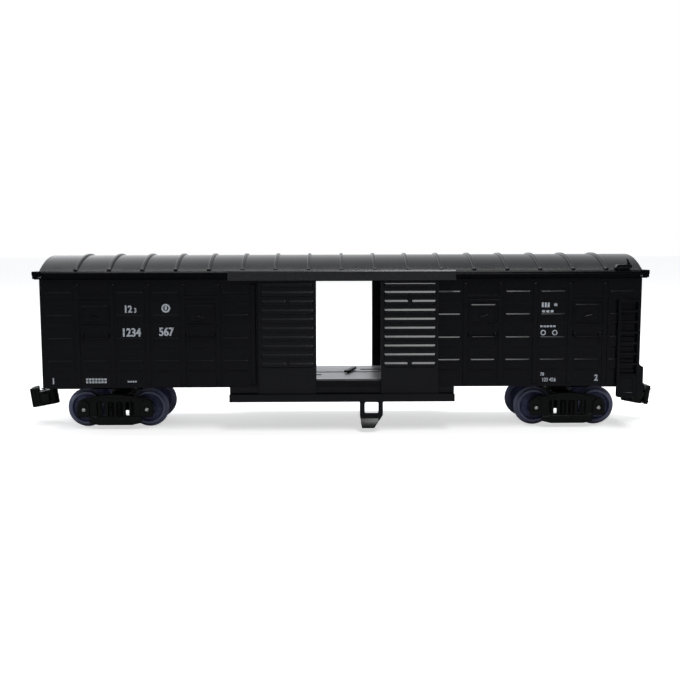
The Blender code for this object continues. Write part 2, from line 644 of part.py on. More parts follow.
def roof_step(name, material, side):
    """Small tread over the ladder, on two feet that stand on the eave, with a grab fin."""
    bm = bmesh.new()
    add_box(bm, (STEP_LEFT, STEP_FRONT, STEP_BOTTOM), (STEP_RIGHT, STEP_BACK, STEP_TOP))
    turn = (0, 0, 0) if side < 0 else (0, 0, math.pi)
    tread = make_object(name, bm, material, (0, 0, 0), turn)
    feet = bmesh.new()
    for x in STEP_FEET:
        add_box(feet, (x - 0.35, STEP_FRONT + 0.1, EAVE_TOP + GAP),
                (x + 0.35, STEP_FRONT + 0.7, STEP_BOTTOM + 0.2))
    add_prism(feet, [(88.0, 51.4), (89.3, 51.4), (88.3, 53.4), (87.8, 53.6)], "Y", -17.6, -16.8)
    shape_with(tread, feet, "UNION")


def main():
    clear_scene()
    black = make_material("black_plastic", (0.012, 0.0125, 0.014), 0.32, 0.0)
    roof_black = make_material("roof_plastic", (0.014, 0.0145, 0.016), 0.28, 0.0)
    chassis = make_material("chassis_plastic", (0.013, 0.0145, 0.013), 0.45, 0.0)
    blued = make_material("blued_steel", (0.055, 0.06, 0.11), 0.3, 1.0)
    bright = make_material("bright_steel", (0.75, 0.75, 0.74), 0.22, 1.0)
    plate = make_material("zinc_plate", (0.55, 0.56, 0.57), 0.4, 1.0)

    body_shell(black)
    roof(roof_black)
    underframe(chassis)
    ballast(plate, chassis)
    for name in DOOR_CENTRES:
        door(name, black)
    door_sill("door_sill_front", black, -1, True)
    door_sill("door_sill_rear", black, 1, False)
    ladder("ladder_right_front", black, -1)
    ladder("ladder_left_rear", black, 1)
    roof_step("roof_step_right_front", black, -1)
    roof_step("roof_step_left_rear", black, 1)
    for end_name, end in (("left", -1), ("right", 1)):
        bogie_frame(f"bogie_frame_{end_name}", chassis, end)
        screw(f"bogie_pivot_screw_{end_name}", bright, (end * BOGIE_X, 0, 0),
              [(2.1, 7.2, 7.4), (2.6, 7.4, 8.2), (PIVOT_SCREW, 8.2, 14.8)])
        for where, sign in (("outer", 1), ("inner", -1)):
            wheelset(f"{end_name}_{where}", end * (BOGIE_X + sign * HALF_WHEELBASE), blued, bright)
        coupler(end_name, end, chassis, bright)


main()
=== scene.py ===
# %% [markdown]
# # A covered goods wagon for an HO railway
#
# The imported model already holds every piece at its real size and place. This notebook gives the
# wagon its looks: it builds a finely shaped stand-in for each moulded piece and a procedural
# finish for each surface. Nothing is moved, so each size is read from the frame.

# %% Load the frame
import math

import bpy
from mathutils import Matrix, Vector


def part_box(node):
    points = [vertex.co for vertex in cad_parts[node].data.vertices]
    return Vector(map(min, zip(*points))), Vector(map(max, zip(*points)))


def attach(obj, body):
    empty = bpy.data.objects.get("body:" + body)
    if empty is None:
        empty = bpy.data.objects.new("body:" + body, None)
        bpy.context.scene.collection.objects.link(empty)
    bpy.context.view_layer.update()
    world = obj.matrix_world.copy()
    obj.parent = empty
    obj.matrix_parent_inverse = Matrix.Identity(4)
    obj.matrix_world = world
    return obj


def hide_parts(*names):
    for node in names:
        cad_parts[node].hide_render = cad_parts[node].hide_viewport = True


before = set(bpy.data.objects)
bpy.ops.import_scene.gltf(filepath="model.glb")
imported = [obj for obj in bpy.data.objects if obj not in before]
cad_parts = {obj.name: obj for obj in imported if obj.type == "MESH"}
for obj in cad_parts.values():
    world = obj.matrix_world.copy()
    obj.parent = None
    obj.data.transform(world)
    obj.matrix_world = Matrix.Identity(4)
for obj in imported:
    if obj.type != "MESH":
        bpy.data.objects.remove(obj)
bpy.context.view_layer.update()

MM = 0.001

# %% [markdown]
# ## Camera
#
# A wagon shows best from a little above the rail, almost square on. A lens of about 49 mm
# on a full frame at 0.3 m gives the same mild perspective: the near sideframes hide the wheels
# and the floor shows through the open doors.

# %% Camera
CAMERA_PLACE = Vector((-4.3, -302.0, 59.4)) * MM
CAMERA_TILT = math.radians(6.16)
CAMERA_PAN = math.radians(0.74)
CAMERA_ROLL = math.radians(-0.14)
CAMERA_LENS = 48.9

camera_data = bpy.data.cameras.new("camera")
camera_data.lens = CAMERA_LENS
camera_data.sensor_width = 36.0
camera_data.clip_start = 0.01
camera = bpy.data.objects.new("camera", camera_data)
bpy.context.scene.collection.objects.link(camera)
turn = Matrix.Rotation(-CAMERA_PAN, 4, "Z") @ Matrix.Rotation(math.pi / 2 - CAMERA_TILT, 4, "X")
camera.matrix_world = Matrix.Translation(CAMERA_PLACE) @ turn @ Matrix.Rotation(CAMERA_ROLL, 4, "Z")
bpy.context.scene.camera = camera
print("camera", round(CAMERA_LENS, 1), "mm lens at", [round(v, 3) for v in CAMERA_PLACE])

# %% [markdown]
# ## Shader expressions
#
# A moulded surface is described by sums and products of a few patterns. A small class that
# wraps one socket lets those be written as ordinary Python, and one method makes every other
# kind of node, so each finish further down reads like a formula.

# %% Shader helper
class Field:
    """One output socket of a shader; arithmetic on it adds Math nodes."""

    def __init__(self, graph, socket):
        self.graph = graph
        self.socket = socket

    def _math(self, operation, first, second=0.0):
        return self.graph.node("ShaderNodeMath", {"operation": operation}, {0: first, 1: second})

    def __add__(self, other):
        return self._math("ADD", self, other)

    __radd__ = __add__

    def __sub__(self, other):
        return self._math("SUBTRACT", self, other)

    def __rsub__(self, other):
        return self._math("SUBTRACT", other, self)

    def __mul__(self, other):
        return self._math("MULTIPLY", self, other)

    __rmul__ = __mul__

    def __pow__(self, other):
        return self._math("POWER", self, other)


class Graph:
    """The node tree of one material or world."""

    def __init__(self, owner):
        owner.use_nodes = True
        self.owner = owner
        self.tree = owner.node_tree
        self.shader = self.tree.nodes.get("Principled BSDF")

    def node(self, kind, settings=None, sockets=None, output=0):
        """Add a node: its settings first, then values or links for its sockets."""
        made = self.tree.nodes.new(kind)
        for key, value in (settings or {}).items():
            if key == "stops":
                ramp = made.color_ramp
                for i, (place, colour) in enumerate(value):
                    stop = ramp.elements[i] if i < 2 else ramp.elements.new(place)
                    stop.position = place
                    stop.color = colour
            else:
                setattr(made, key, value)
        for key, value in (sockets or {}).items():
            if isinstance(value, Field):
                self.tree.links.new(value.socket, made.inputs[key])
            else:
                made.inputs[key].default_value = value
        return None if output is None else Field(self, made.outputs[output])

    def place(self):
        """Object coordinates in metres."""
        return self.node("ShaderNodeTexCoord", output="Object")

    def noise(self, scale, detail=2.0, stretch=(1.0, 1.0, 1.0)):
        where = self.node("ShaderNodeMapping", {}, {"Vector": self.place(), "Scale": stretch})
        sockets = {"Vector": where, "Scale": scale, "Detail": detail, "Roughness": 0.55}
        return self.node("ShaderNodeTexNoise", {}, sockets)

    def mix(self, factor, first, second):
        """Mix two colours."""
        sockets = {"Factor": factor, 6: first, 7: second}
        return self.node("ShaderNodeMix", {"data_type": "RGBA"}, sockets, output=2)

    def ramp(self, value, stops):
        return self.node("ShaderNodeValToRGB", {"stops": stops}, {"Fac": value})

    def bump(self, height, distance, strength=1.0):
        sockets = {"Height": height, "Distance": distance, "Strength": strength}
        return self.node("ShaderNodeBump", {}, sockets)

    def finish(self, **values):
        """Set or link the Principled shader's sockets; underscores stand for spaces."""
        for key, value in values.items():
            socket = self.shader.inputs[key.replace("_", " ")]
            if isinstance(value, Field):
                self.tree.links.new(value.socket, socket)
            else:
                socket.default_value = value
        return self.owner


print("shader helper ready")

# %% [markdown]
# ## Plastics
#
# The body is injection-moulded black polystyrene. Its mould was spark-eroded, which leaves a very
# fine grain, and the plastic's flow leaves broad, faint bands of gloss. The colour hardly
# varies; almost everything that the eye sees on black plastic comes from roughness and bump.

# %% Moulded plastic
GRAIN_SCALE = 5200.0
FLOW_SCALE = 55.0


def moulded_plastic(name, colour, gloss, specular, grain, haze):
    """Black plastic: base colour, middle roughness, specular level, grain depth and haze."""
    g = Graph(bpy.data.materials.new(name))
    flow = g.noise(FLOW_SCALE, 3.0, (1.0, 1.0, 2.2))
    grit = g.noise(GRAIN_SCALE, 2.0)
    dust = g.noise(900.0, 4.0)
    light = tuple(c * (1.0 + haze) + 0.0006 for c in colour) + (1.0,)
    dark = tuple(c * (1.0 - haze) for c in colour) + (1.0,)
    tone = g.mix(flow * 0.7 + dust * 0.3, dark, light)
    roughness = (1.0 + (flow - 0.5) * 0.45 + (dust - 0.5) * 0.2) * gloss
    relief = g.bump(grit + dust * 0.6, grain)
    return g.finish(Base_Color=tone, Roughness=roughness, Normal=relief, IOR=1.5,
                    Specular_IOR_Level=specular)


body_plastic = moulded_plastic("body_plastic", (0.0040, 0.0043, 0.0058), 0.20, 0.34, 0.000005, 0.3)
door_plastic = moulded_plastic("door_plastic", (0.0054, 0.0057, 0.0070), 0.16, 0.46, 0.000004, 0.3)
# Painted highlight: the canopies' black plastic is made several times lighter to stand for lit faces.
painted_highlight_canopy_plastic = moulded_plastic("painted_highlight_canopy_plastic", (0.0180, 0.0184, 0.0225), 0.28, 0.8, 0.000005, 0.3)
roof_plastic = moulded_plastic("roof_plastic", (0.0050, 0.0054, 0.0068), 0.22, 0.5, 0.000006, 0.3)
trim_plastic = moulded_plastic("trim_plastic", (0.0022, 0.0024, 0.0036), 0.25, 0.13, 0.000006, 0.3)
chassis_plastic = moulded_plastic("chassis_plastic", (0.0052, 0.0064, 0.0054), 0.36, 0.34, 0.000010, 0.35)
print("plastics", [m.name for m in bpy.data.materials if m.name.endswith("plastic")])

# %% [markdown]
# ## Metals
#
# Each wheel is turned, then chemically blued, so fine rings run round its own axle and the
# blue-violet oxide thins where the tool left a ridge. The rings need the axle's place, so every
# wheelset gets its own copy of the finish. The axles are bright, and the floor strips are
# zinc-plated sheet with the rolling marks running lengthways.

# %% Metals
def distance_from_axle(g, centre):
    """Distance of a point from an axle that lies along Y."""
    where = g.place()
    along_x = g.node("ShaderNodeSeparateXYZ", {}, {"Vector": where}, output="X") - centre.x
    along_z = g.node("ShaderNodeSeparateXYZ", {}, {"Vector": where}, output="Z") - centre.z
    return (along_x * along_x + along_z * along_z) ** 0.5


TREAD_EDGE = 4.4 * MM


def blued_steel(name, centre):
    g = Graph(bpy.data.materials.new(name))
    radius = distance_from_axle(g, centre)
    rings = g.node("ShaderNodeMath", {"operation": "SINE"}, {0: radius * 42000.0})
    cloud = g.noise(420.0, 4.0)
    oxide = g.ramp(cloud + rings * 0.04, [
        (0.30, (0.050, 0.057, 0.130, 1.0)),
        (0.74, (0.150, 0.165, 0.290, 1.0)),
    ])
    # Past the tread edge the metal turns pale blue: partly rubbed bare, partly a painted rim highlight.
    rubbed_and_painted_highlight = g.node("ShaderNodeMapRange", {}, {"Value": radius, "From Min": TREAD_EDGE,
                                               "From Max": TREAD_EDGE + 0.2 * MM})
    tone = g.mix(rubbed_and_painted_highlight * 0.8, oxide, (0.27, 0.29, 0.42, 1.0))
    roughness = 0.33 + (cloud - 0.5) * 0.18
    relief = g.bump(rings * 0.4 + cloud, 0.000006)
    return g.finish(Base_Color=tone, Roughness=roughness, Normal=relief, Metallic=0.55)


def bright_steel(name, metallic):
    g = Graph(bpy.data.materials.new(name))
    cloud = g.noise(1500.0, 3.0)
    tone = g.mix(cloud, (0.62, 0.62, 0.63, 1.0), (0.88, 0.88, 0.87, 1.0))
    relief = g.bump(g.noise(6000.0, 2.0), 0.000006)
    return g.finish(Base_Color=tone, Roughness=0.2 + cloud * 0.14, Normal=relief, Metallic=metallic)


def zinc_plate(name):
    g = Graph(bpy.data.materials.new(name))
    streaks = g.noise(600.0, 5.0, (0.05, 1.0, 1.0))
    spangle = g.noise(160.0, 2.0)
    tone = g.mix(streaks * 0.6 + spangle * 0.4, (0.40, 0.41, 0.42, 1.0), (0.62, 0.63, 0.64, 1.0))
    roughness = 0.42 + (streaks - 0.5) * 0.25
    return g.finish(Base_Color=tone, Roughness=roughness, Normal=g.bump(streaks, 0.000012), Metallic=0.75)


def printed_white(name):
    """Pad-printed marking: opaque but a little worn, so that the black grins through in specks."""
    g = Graph(bpy.data.materials.new(name))
    wear = g.noise(2600.0, 3.0)
    tone = g.ramp(wear, [(0.34, (0.14, 0.15, 0.17, 1.0)), (0.46, (0.46, 0.50, 0.55, 1.0))])
    return g.finish(Base_Color=tone, Roughness=0.5 + wear * 0.1, Specular_IOR_Level=0.3)


axle_steel = bright_steel("axle_steel", 0.45)
screw_steel = bright_steel("screw_steel", 1.0)
floor_zinc = zinc_plate("floor_zinc")
marking_white = printed_white("marking_white")
print("metals ready")

# %% [markdown]
# ## Modelling helpers
#
# Each piece starts as a primitive and is shaped in edit mode. An operator works on whatever is
# selected, so every step begins with nothing selected and then picks faces by their place or
# their direction.

# %% Modelling helpers
def fresh():
    """Leave edit mode and deselect everything."""
    if bpy.context.object and bpy.context.object.mode != "OBJECT":
        bpy.ops.object.mode_set(mode="OBJECT")
    bpy.ops.object.select_all(action="DESELECT")
    bpy.context.tool_settings.mesh_select_mode = (False, False, True)


def settle(name):
    """Name the active object and put its place into its mesh."""
    piece = bpy.context.active_object
    piece.name = name
    bpy.ops.object.transform_apply(location=True, rotation=True, scale=True)
    return piece


def block(name, low, high):
    """A box between two corners in millimetres."""
    fresh()
    low, high = Vector(low) * MM, Vector(high) * MM
    bpy.ops.mesh.primitive_cube_add(size=1.0, location=(low + high) / 2, scale=high - low)
    return settle(name)


def rod(name, centre, radius, depth, axis="Y", sides=32):
    """A cylinder in millimetres, along X, Y or Z."""
    fresh()
    turns = {"X": (0, math.pi / 2, 0), "Y": (math.pi / 2, 0, 0), "Z": (0, 0, 0)}
    bpy.ops.mesh.primitive_cylinder_add(vertices=sides, radius=radius * MM, depth=depth * MM,
                                        location=Vector(centre) * MM, rotation=turns[axis])
    return settle(name)


def choose(piece, test):
    """Go to edit mode on a piece with just the faces selected whose centre and normal pass."""
    fresh()
    piece.select_set(True)
    bpy.context.view_layer.objects.active = piece
    mesh = piece.data
    mesh.vertices.foreach_set("select", [False] * len(mesh.vertices))
    mesh.edges.foreach_set("select", [False] * len(mesh.edges))
    mesh.polygons.foreach_set("select", [test(face.center / MM, face.normal) for face in mesh.polygons])
    bpy.ops.object.mode_set(mode="EDIT")


def raise_area(piece, test, slope, height):
    """Inset an area and lift it, which leaves a sloped border; a negative height sinks it."""
    choose(piece, test)
    bpy.ops.mesh.inset(thickness=slope * MM, depth=height * MM, use_boundary=True)
    bpy.ops.object.mode_set(mode="OBJECT")


def bisect_all(piece, axis, places):
    """Cut a mesh across at each place, in millimetres, along one axis."""
    normal = Vector([1.0 if a == axis else 0.0 for a in "XYZ"])
    for place in places:
        choose(piece, lambda centre, direction: True)
        bpy.ops.mesh.bisect(plane_co=normal * place * MM, plane_no=normal)
    bpy.ops.object.mode_set(mode="OBJECT")


def modify(piece, kind, **settings):
    """Add a modifier and apply it."""
    fresh()
    piece.select_set(True)
    bpy.context.view_layer.objects.active = piece
    modifier = piece.modifiers.new(kind.lower(), kind)
    for key, value in settings.items():
        setattr(modifier, key, value)
    bpy.ops.object.modifier_apply(modifier=modifier.name)
    return piece


def soften(piece, width, segments=2, angle=35.0):
    """Round the sharp edges, as a mould's edges are."""
    return modify(piece, "BEVEL", width=width * MM, segments=segments, limit_method="ANGLE",
                  angle_limit=math.radians(angle), use_clamp_overlap=True, miter_outer="MITER_ARC")


def rounded(name, low, high, width, segments=2):
    """A box with its edges rounded."""
    return soften(block(name, low, high), width, segments)


def join(pieces, name):
    """Join pieces into the first one."""
    fresh()
    for piece in pieces:
        piece.select_set(True)
    bpy.context.view_layer.objects.active = pieces[0]
    if len(pieces) > 1:
        bpy.ops.object.join()
    pieces[0].name = name
    return pieces[0]


def cut_out(name, outline, axis, start, stop):
    """A flat outline in millimetres, extruded along an axis; it lists the two other coordinates."""
    fresh()
    bpy.ops.mesh.primitive_circle_add(vertices=len(outline), radius=1.0, fill_type="NGON")
    piece = settle(name)
    for vertex, (a, b) in zip(piece.data.vertices, outline):
        vertex.co = Vector({"X": (start, a, b), "Y": (a, start, b), "Z": (a, b, start)}[axis]) * MM
    choose(piece, lambda centre, normal: True)
    travel = Vector([stop - start if a == axis else 0.0 for a in "XYZ"]) * MM
    bpy.ops.mesh.extrude_region_move(TRANSFORM_OT_translate={"value": travel})
    bpy.ops.mesh.select_all(action="SELECT")
    bpy.ops.mesh.normals_make_consistent(inside=False)
    bpy.ops.object.mode_set(mode="OBJECT")
    return piece


def carve(piece, other):
    """Cut one solid out of another."""
    modify(piece, "BOOLEAN", operation="DIFFERENCE", object=other, solver="EXACT")
    bpy.data.objects.remove(other)
    return piece


def duplicate(piece, name, move=(0, 0, 0), turn_z=0.0):
    """Copy a piece with a mesh of its own, turned about the Z axis and then moved."""
    copy = piece.copy()
    copy.data = piece.data.copy()
    copy.name = name
    bpy.context.scene.collection.objects.link(copy)
    copy.data.transform(Matrix.Translation(Vector(move) * MM) @ Matrix.Rotation(turn_z, 4, "Z"))
    return copy


def arc(centre, radius, start, stop, step):
    """Points along a circle; the angles are in degrees."""
    angles = [math.radians(a) for a in range(start, stop + 1, step)]
    return [(centre + radius * math.cos(a), radius * math.sin(a)) for a in angles]


def mirrored(outline, side):
    """An outline drawn for the +Y side, turned over for the side that is wanted."""
    return [(side * y, z) for y, z in outline]


def dress(piece, material, body, replaces=(), angle=35.0):
    """Give a finished piece its material, its smooth shading and its place in the frame."""
    piece.data.materials.clear()
    piece.data.materials.append(material)
    fresh()
    piece.select_set(True)
    bpy.context.view_layer.objects.active = piece
    bpy.ops.object.shade_smooth_by_angle(angle=math.radians(angle))
    # Normals weighted by area keep the large faces flat, so that only the rounded edges shade.
    modify(piece, "WEIGHTED_NORMAL", mode="FACE_AREA", weight=50, keep_sharp=True)
    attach(piece, body)
    if replaces:
        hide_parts(*replaces)
    return piece


def size_of(node):
    """Lowest and highest corner of a CAD node, in millimetres."""
    low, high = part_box(node)
    return low / MM, high / MM


print("helpers ready")

# %% [markdown]
# ## Body shell
#
# The shell is one moulding. Its sides carry upright posts, four rows of pressed pads and two
# shuttered vents in each half. The walls are cut into a grid first, while they are still flat
# sheets, so Solidify gives them one even thickness. Each raised shape is then an inset of some
# grid cells with a depth, which makes the sloped edges that catch the light.

# %% Shell sizes
shell_low, shell_high = size_of("body_shell")
WALL_FACE = 17.0
WALL_THICKNESS = 1.0
FIRST_POST = 27.5
POST_PITCH = 10.85
POSTS = [FIRST_POST + POST_PITCH * k for k in range(6)]
PANELS = [post + POST_PITCH / 2 for post in POSTS]
POST_HALF = 0.85
PAD_HALF_WIDTH = 3.85
PAD_HALF_HEIGHT = 1.75
PAD_ROWS = (42.05, 35.0, 27.85, 20.8)
VENT_PANELS = (1, 4)
VENT_SPAN = (33.9, 39.6)
DRIP_RAILS = (42.2, 40.8)
RAIL_HALF = 0.32
RELIEF = 0.3
PAD_SLOPE = 0.34
DOORWAY_HALF = 17.25
DOORWAY = (15.9, 46.9)
END_RIBS = (20.0, 26.0, 32.0, 38.0, 44.0)
print("posts at", POSTS, "panels at", PANELS)

# %% Flat walls cut into a grid
shell = block("wagon_body", (-93.0, -WALL_FACE, shell_low.z), (93.0, WALL_FACE, shell_high.z))
choose(shell, lambda centre, normal: abs(normal.z) > 0.5)
bpy.ops.mesh.delete(type="ONLY_FACE")
across = sorted({sign * value for sign in (-1, 1) for value in
                 [p + d for p in POSTS for d in (-POST_HALF, POST_HALF)]
                 + [p + d for p in PANELS for d in (-PAD_HALF_WIDTH, PAD_HALF_WIDTH)]
                 + [DOORWAY_HALF]})
upright = sorted({z + d for z in PAD_ROWS for d in (-PAD_HALF_HEIGHT, PAD_HALF_HEIGHT)}
                 | {z + d for z in DRIP_RAILS for d in (-RAIL_HALF, RAIL_HALF)}
                 | set(VENT_SPAN) | set(DOORWAY) | {14.7, 46.2, 46.5}
                 | {z + d for z in END_RIBS for d in (-0.9, 0.9)})
bisect_all(shell, "X", across)
bisect_all(shell, "Z", upright)
bisect_all(shell, "Y", (-15.2, 15.2))
choose(shell, lambda centre, normal: abs(normal.y) > 0.5 and abs(centre.x) < DOORWAY_HALF
       and DOORWAY[0] < centre.z < DOORWAY[1])
bpy.ops.mesh.delete(type="FACE")
modify(shell, "SOLIDIFY", thickness=WALL_THICKNESS * MM, offset=-1.0, use_even_offset=True)
print("walls", len(shell.data.polygons), "faces")


# %% Posts, pads and vents
def on_side(x_range, z_range, side=0):
    """A test for the outer faces of the long walls inside a rectangle, in millimetres."""
    def test(centre, normal):
        outer = abs(centre.y) > WALL_FACE - 0.05 and abs(normal.y) > 0.9
        wanted = side == 0 or centre.y * side > 0
        return (outer and wanted and x_range[0] < centre.x < x_range[1]
                and z_range[0] < centre.z < z_range[1])
    return test


for sign in (-1, 1):
    for post in POSTS:
        x = sign * post
        raise_area(shell, on_side((x - POST_HALF, x + POST_HALF), (14.7, 46.2)), 0.18, RELIEF)
    for number, panel in enumerate(PANELS):
        x = sign * panel
        vent = number in VENT_PANELS
        for z in PAD_ROWS[2:] if vent else PAD_ROWS:
            raise_area(shell, on_side((x - PAD_HALF_WIDTH, x + PAD_HALF_WIDTH),
                                      (z - PAD_HALF_HEIGHT, z + PAD_HALF_HEIGHT)), PAD_SLOPE, RELIEF)
        if vent:
            box = on_side((x - PAD_HALF_WIDTH, x + PAD_HALF_WIDTH), VENT_SPAN)
            raise_area(shell, box, 0.3, RELIEF)
for z in END_RIBS:
    raise_area(shell, lambda centre, normal, z=z: abs(centre.x) > 92.95 and abs(normal.x) > 0.9
               and abs(centre.y) < 15.2 and abs(centre.z - z) < 0.9, 0.45, 0.45)
soften(shell, 0.07, 1, 25.0)
print("shell", len(shell.data.polygons), "faces")

# %% [markdown]
# The vents need finer parts than the grid gives: drip rails over each shutter, a shutter frame,
# a small lever in its middle, and two lugs below with a handle bar between them. One vent is
# modelled, then copied to its eight places.

# %% Vent fittings
LEVER_HALF = 1.3
LEVER_Z = 35.8


def vent_fittings():
    """Fittings of the vent at X = 0 on the front wall."""
    parts = []
    for z in DRIP_RAILS:
        parts.append(rounded("rail", (-5.35, -17.34, z - 0.32), (5.35, -16.9, z + 0.32), 0.16))
    for z in (34.3, 39.1):
        parts.append(rounded("frame_bar", (-3.7, -17.55, z - 0.25), (3.7, -17.2, z + 0.25), 0.14))
    for x in (-3.55, 3.55):
        parts.append(rounded("stile", (x - 0.22, -17.5, 34.4), (x + 0.22, -17.2, 39.0), 0.1))
    parts.append(rounded("ledge", (-5.35, -17.3, 33.1), (5.35, -16.9, 33.6), 0.15, 2))
    for x in (-3.85, 3.85):
        parts.append(rounded("lug", (x - 0.4, -17.75, 29.5), (x + 0.4, -16.9, 30.9), 0.3, 4))
    parts.append(rounded("handle", (-3.6, -17.7, 29.15), (3.6, -17.2, 29.65), 0.18, 3))
    return join(parts, "vent_fittings")


def vent_lever(lean):
    """A short curved lever; lean gives the side that it rises to."""
    lever = block("lever", (-LEVER_HALF, -18.1, LEVER_Z - 0.45), (LEVER_HALF, -17.25, LEVER_Z + 0.45))
    bisect_all(lever, "X", (-0.8, -0.4, 0.0, 0.4, 0.8))
    for vertex in lever.data.vertices:
        share = vertex.co.x / (LEVER_HALF * MM)
        from_middle = (vertex.co.z - LEVER_Z * MM) * (1.0 - 0.6 * share * share)
        bow = (0.35 * lean * share + 0.3 * share * share) * MM
        vertex.co.z = LEVER_Z * MM + from_middle + bow
    return soften(lever, 0.3, 4)


fittings = []
first = vent_fittings()
for side in (-1, 1):
    for sign in (-1, 1):
        lever = vent_lever(sign * -side)
        for number in VENT_PANELS:
            x = sign * PANELS[number]
            turn_z = 0.0 if side < 0 else math.pi
            move = (x, 0, 0)
            fittings.append(duplicate(first, "fitting", move, turn_z))
            fittings.append(duplicate(lever, "lever_copy", move, turn_z))
        bpy.data.objects.remove(lever)
bpy.data.objects.remove(first)
vents = join(fittings, "vent_fittings")
dress(vents, body_plastic, "wagon")
dress(shell, body_plastic, "wagon", ["body_shell"], 25.0)
print("vents", len(vents.data.polygons), "faces")

# %% [markdown]
# ## Roof
#
# The roof is a low arch with seventeen cross ribs. A circle's arc is spun from one edge: the
# eave's outline point is swept over the crest by the spin operator, which gives an even curve.
# The ribs are thinner arcs of the same centre, and each ends in a small foot on the eave.

# %% Roof sizes
ROOF_HALF_WIDTH = 17.3
EAVE_TOP = 50.1
ROOF_CREST = 54.8
RISE = ROOF_CREST - EAVE_TOP
ARCH_RADIUS = (ROOF_HALF_WIDTH ** 2 + RISE ** 2) / (2 * RISE)
ARCH_CENTRE = ROOF_CREST - ARCH_RADIUS
ARCH_ANGLE = 2 * math.asin(ROOF_HALF_WIDTH / ARCH_RADIUS)
RIB_PITCH = 10.2
RIB_COUNT = 17
RIB_FOOT = 17.4
print("arch radius", round(ARCH_RADIUS, 2), "mm over", round(math.degrees(ARCH_ANGLE), 1), "degrees")


# %% Arched strips
def arch(name, x_range, inner, outer, trim=0.0, steps=48):
    """A curved bar between two radii: a flat end face is spun over the crest."""
    fresh()
    start = -ARCH_ANGLE / 2 + trim
    low, high = x_range
    size = (outer - inner)
    bpy.ops.mesh.primitive_plane_add(size=1.0, location=(0, 0, 0))
    piece = settle(name)
    middle = (inner + outer) / 2
    for vertex in piece.data.vertices:
        vertex.co = Vector(((low + high) / 2 + vertex.co.x * (high - low), 0.0,
                            ARCH_CENTRE + middle + vertex.co.y * size)) * MM
    centre = Vector((0, 0, ARCH_CENTRE)) * MM
    piece.data.transform(Matrix.Translation(centre) @ Matrix.Rotation(-start, 4, "X")
                         @ Matrix.Translation(-centre))
    choose(piece, lambda centre, normal: True)
    bpy.ops.mesh.spin(steps=steps, angle=ARCH_ANGLE - 2 * trim, center=centre, axis=(1, 0, 0))
    bpy.ops.mesh.select_all(action="SELECT")
    bpy.ops.mesh.remove_doubles(threshold=0.000001)
    bpy.ops.mesh.normals_make_consistent(inside=False)
    bpy.ops.object.mode_set(mode="OBJECT")
    return piece


roof = arch("roof_cover", (-92.8, 92.8), ARCH_RADIUS - 1.2, ARCH_RADIUS)
print("arch spans", [round(v / MM, 1) for v in roof.dimensions])

# %% Ribs with their feet
rib = arch("rib", (-0.5, 0.5), ARCH_RADIUS - 0.4, ARCH_RADIUS + 0.5, 0.004)
soften(rib, 0.22, 3)
feet = []
for side in (-1, 1):
    middle = side * RIB_FOOT
    feet.append(rounded("foot", (-0.62, middle - 0.5, 49.9), (0.62, middle + 0.5, 50.9), 0.28, 3))
rib = join([rib] + feet, "rib")
first_rib = -RIB_PITCH * (RIB_COUNT - 1) / 2
ribs = [duplicate(rib, "rib_copy", (first_rib + RIB_PITCH * k, 0, 0)) for k in range(RIB_COUNT)]
bpy.data.objects.remove(rib)
ribs = join(ribs, "roof_ribs")
print("ribs", RIB_COUNT, "with", len(ribs.data.polygons), "faces")

# %% Eaves, gables, end fascia and door canopies
EAVE_OUTLINE = [(16.0, 47.62), (17.0, 47.62), (17.3, 47.9), (18.5, 47.9), (18.5, 49.0), (18.36, 49.1),
                (18.36, 49.25), (18.5, 49.35), (18.45, 49.6), (17.85, 50.15), (16.6, 50.15), (16.0, 49.4)]
TRACK_HALF = 35.0
CANOPY_OUTLINE = [(18.3, 48.2), (18.5, 47.2), (19.0, 47.2), (19.0, 49.9), (18.6, 50.4), (18.3, 50.4)]
eaves = []
canopies = []
for side in (-1, 1):
    eave = cut_out("eave", mirrored(EAVE_OUTLINE, side), "X", -94.6, 94.6)
    eaves.append(soften(eave, 0.08, 2, 20.0))
    canopy = cut_out("canopy", mirrored(CANOPY_OUTLINE, side), "X", -TRACK_HALF, TRACK_HALF)
    canopies.append(soften(canopy, 0.12, 2, 20.0))
    lip_low, lip_high = sorted((side * 15.0, side * 15.7))
    eaves.append(block("lip", (-91.5, lip_low, 46.9), (91.5, lip_high, 48.6)))
for end in (-1, 1):
    for low_z, high_z, reach in ((48.85, 50.12, 94.8), (47.9, 48.35, 94.7), (48.2, 48.95, 93.9)):
        low_x, high_x = sorted((end * 92.0, end * reach))
        eaves.append(rounded("fascia", (low_x, -18.45, low_z), (high_x, 18.45, high_z), 0.14, 3))
    low_x, high_x = sorted((end * 92.0, end * 93.0))
    eaves.append(block("end_seat", (low_x, -16.5, 47.62), (high_x, 16.5, 48.0)))
roof_trim = join(eaves, "roof_trim")
gables = []
for end in (-1, 1):
    gable = rod("gable", (end * 92.1, 0, ARCH_CENTRE), ARCH_RADIUS - 0.5, 0.8, "X", 180)
    bisect_all(gable, "Z", (48.2,))
    choose(gable, lambda centre, normal: centre.z < 48.2 and abs(normal.x) > 0.5 or centre.z < 48.1)
    bpy.ops.mesh.delete(type="FACE")
    choose(gable, lambda centre, normal: True)
    bpy.ops.mesh.select_all(action="DESELECT")
    bpy.context.tool_settings.mesh_select_mode = (False, True, False)
    bpy.ops.mesh.select_non_manifold()
    bpy.ops.mesh.edge_face_add()
    bpy.ops.mesh.select_all(action="SELECT")
    bpy.ops.mesh.normals_make_consistent(inside=False)
    bpy.ops.object.mode_set(mode="OBJECT")
    gables.append(gable)
roof = join([roof] + gables, "roof_cover")
dress(roof, roof_plastic, "wagon", ["roof"], 30.0)
dress(ribs, roof_plastic, "wagon")
dress(roof_trim, trim_plastic, "wagon", (), 25.0)
# The canopies take the lighter plastic, whose extra brightness is a painted highlight.
dress(join(canopies, "door_canopies"), painted_highlight_canopy_plastic, "wagon", (), 25.0)
print("roof", len(roof.data.polygons), "faces")

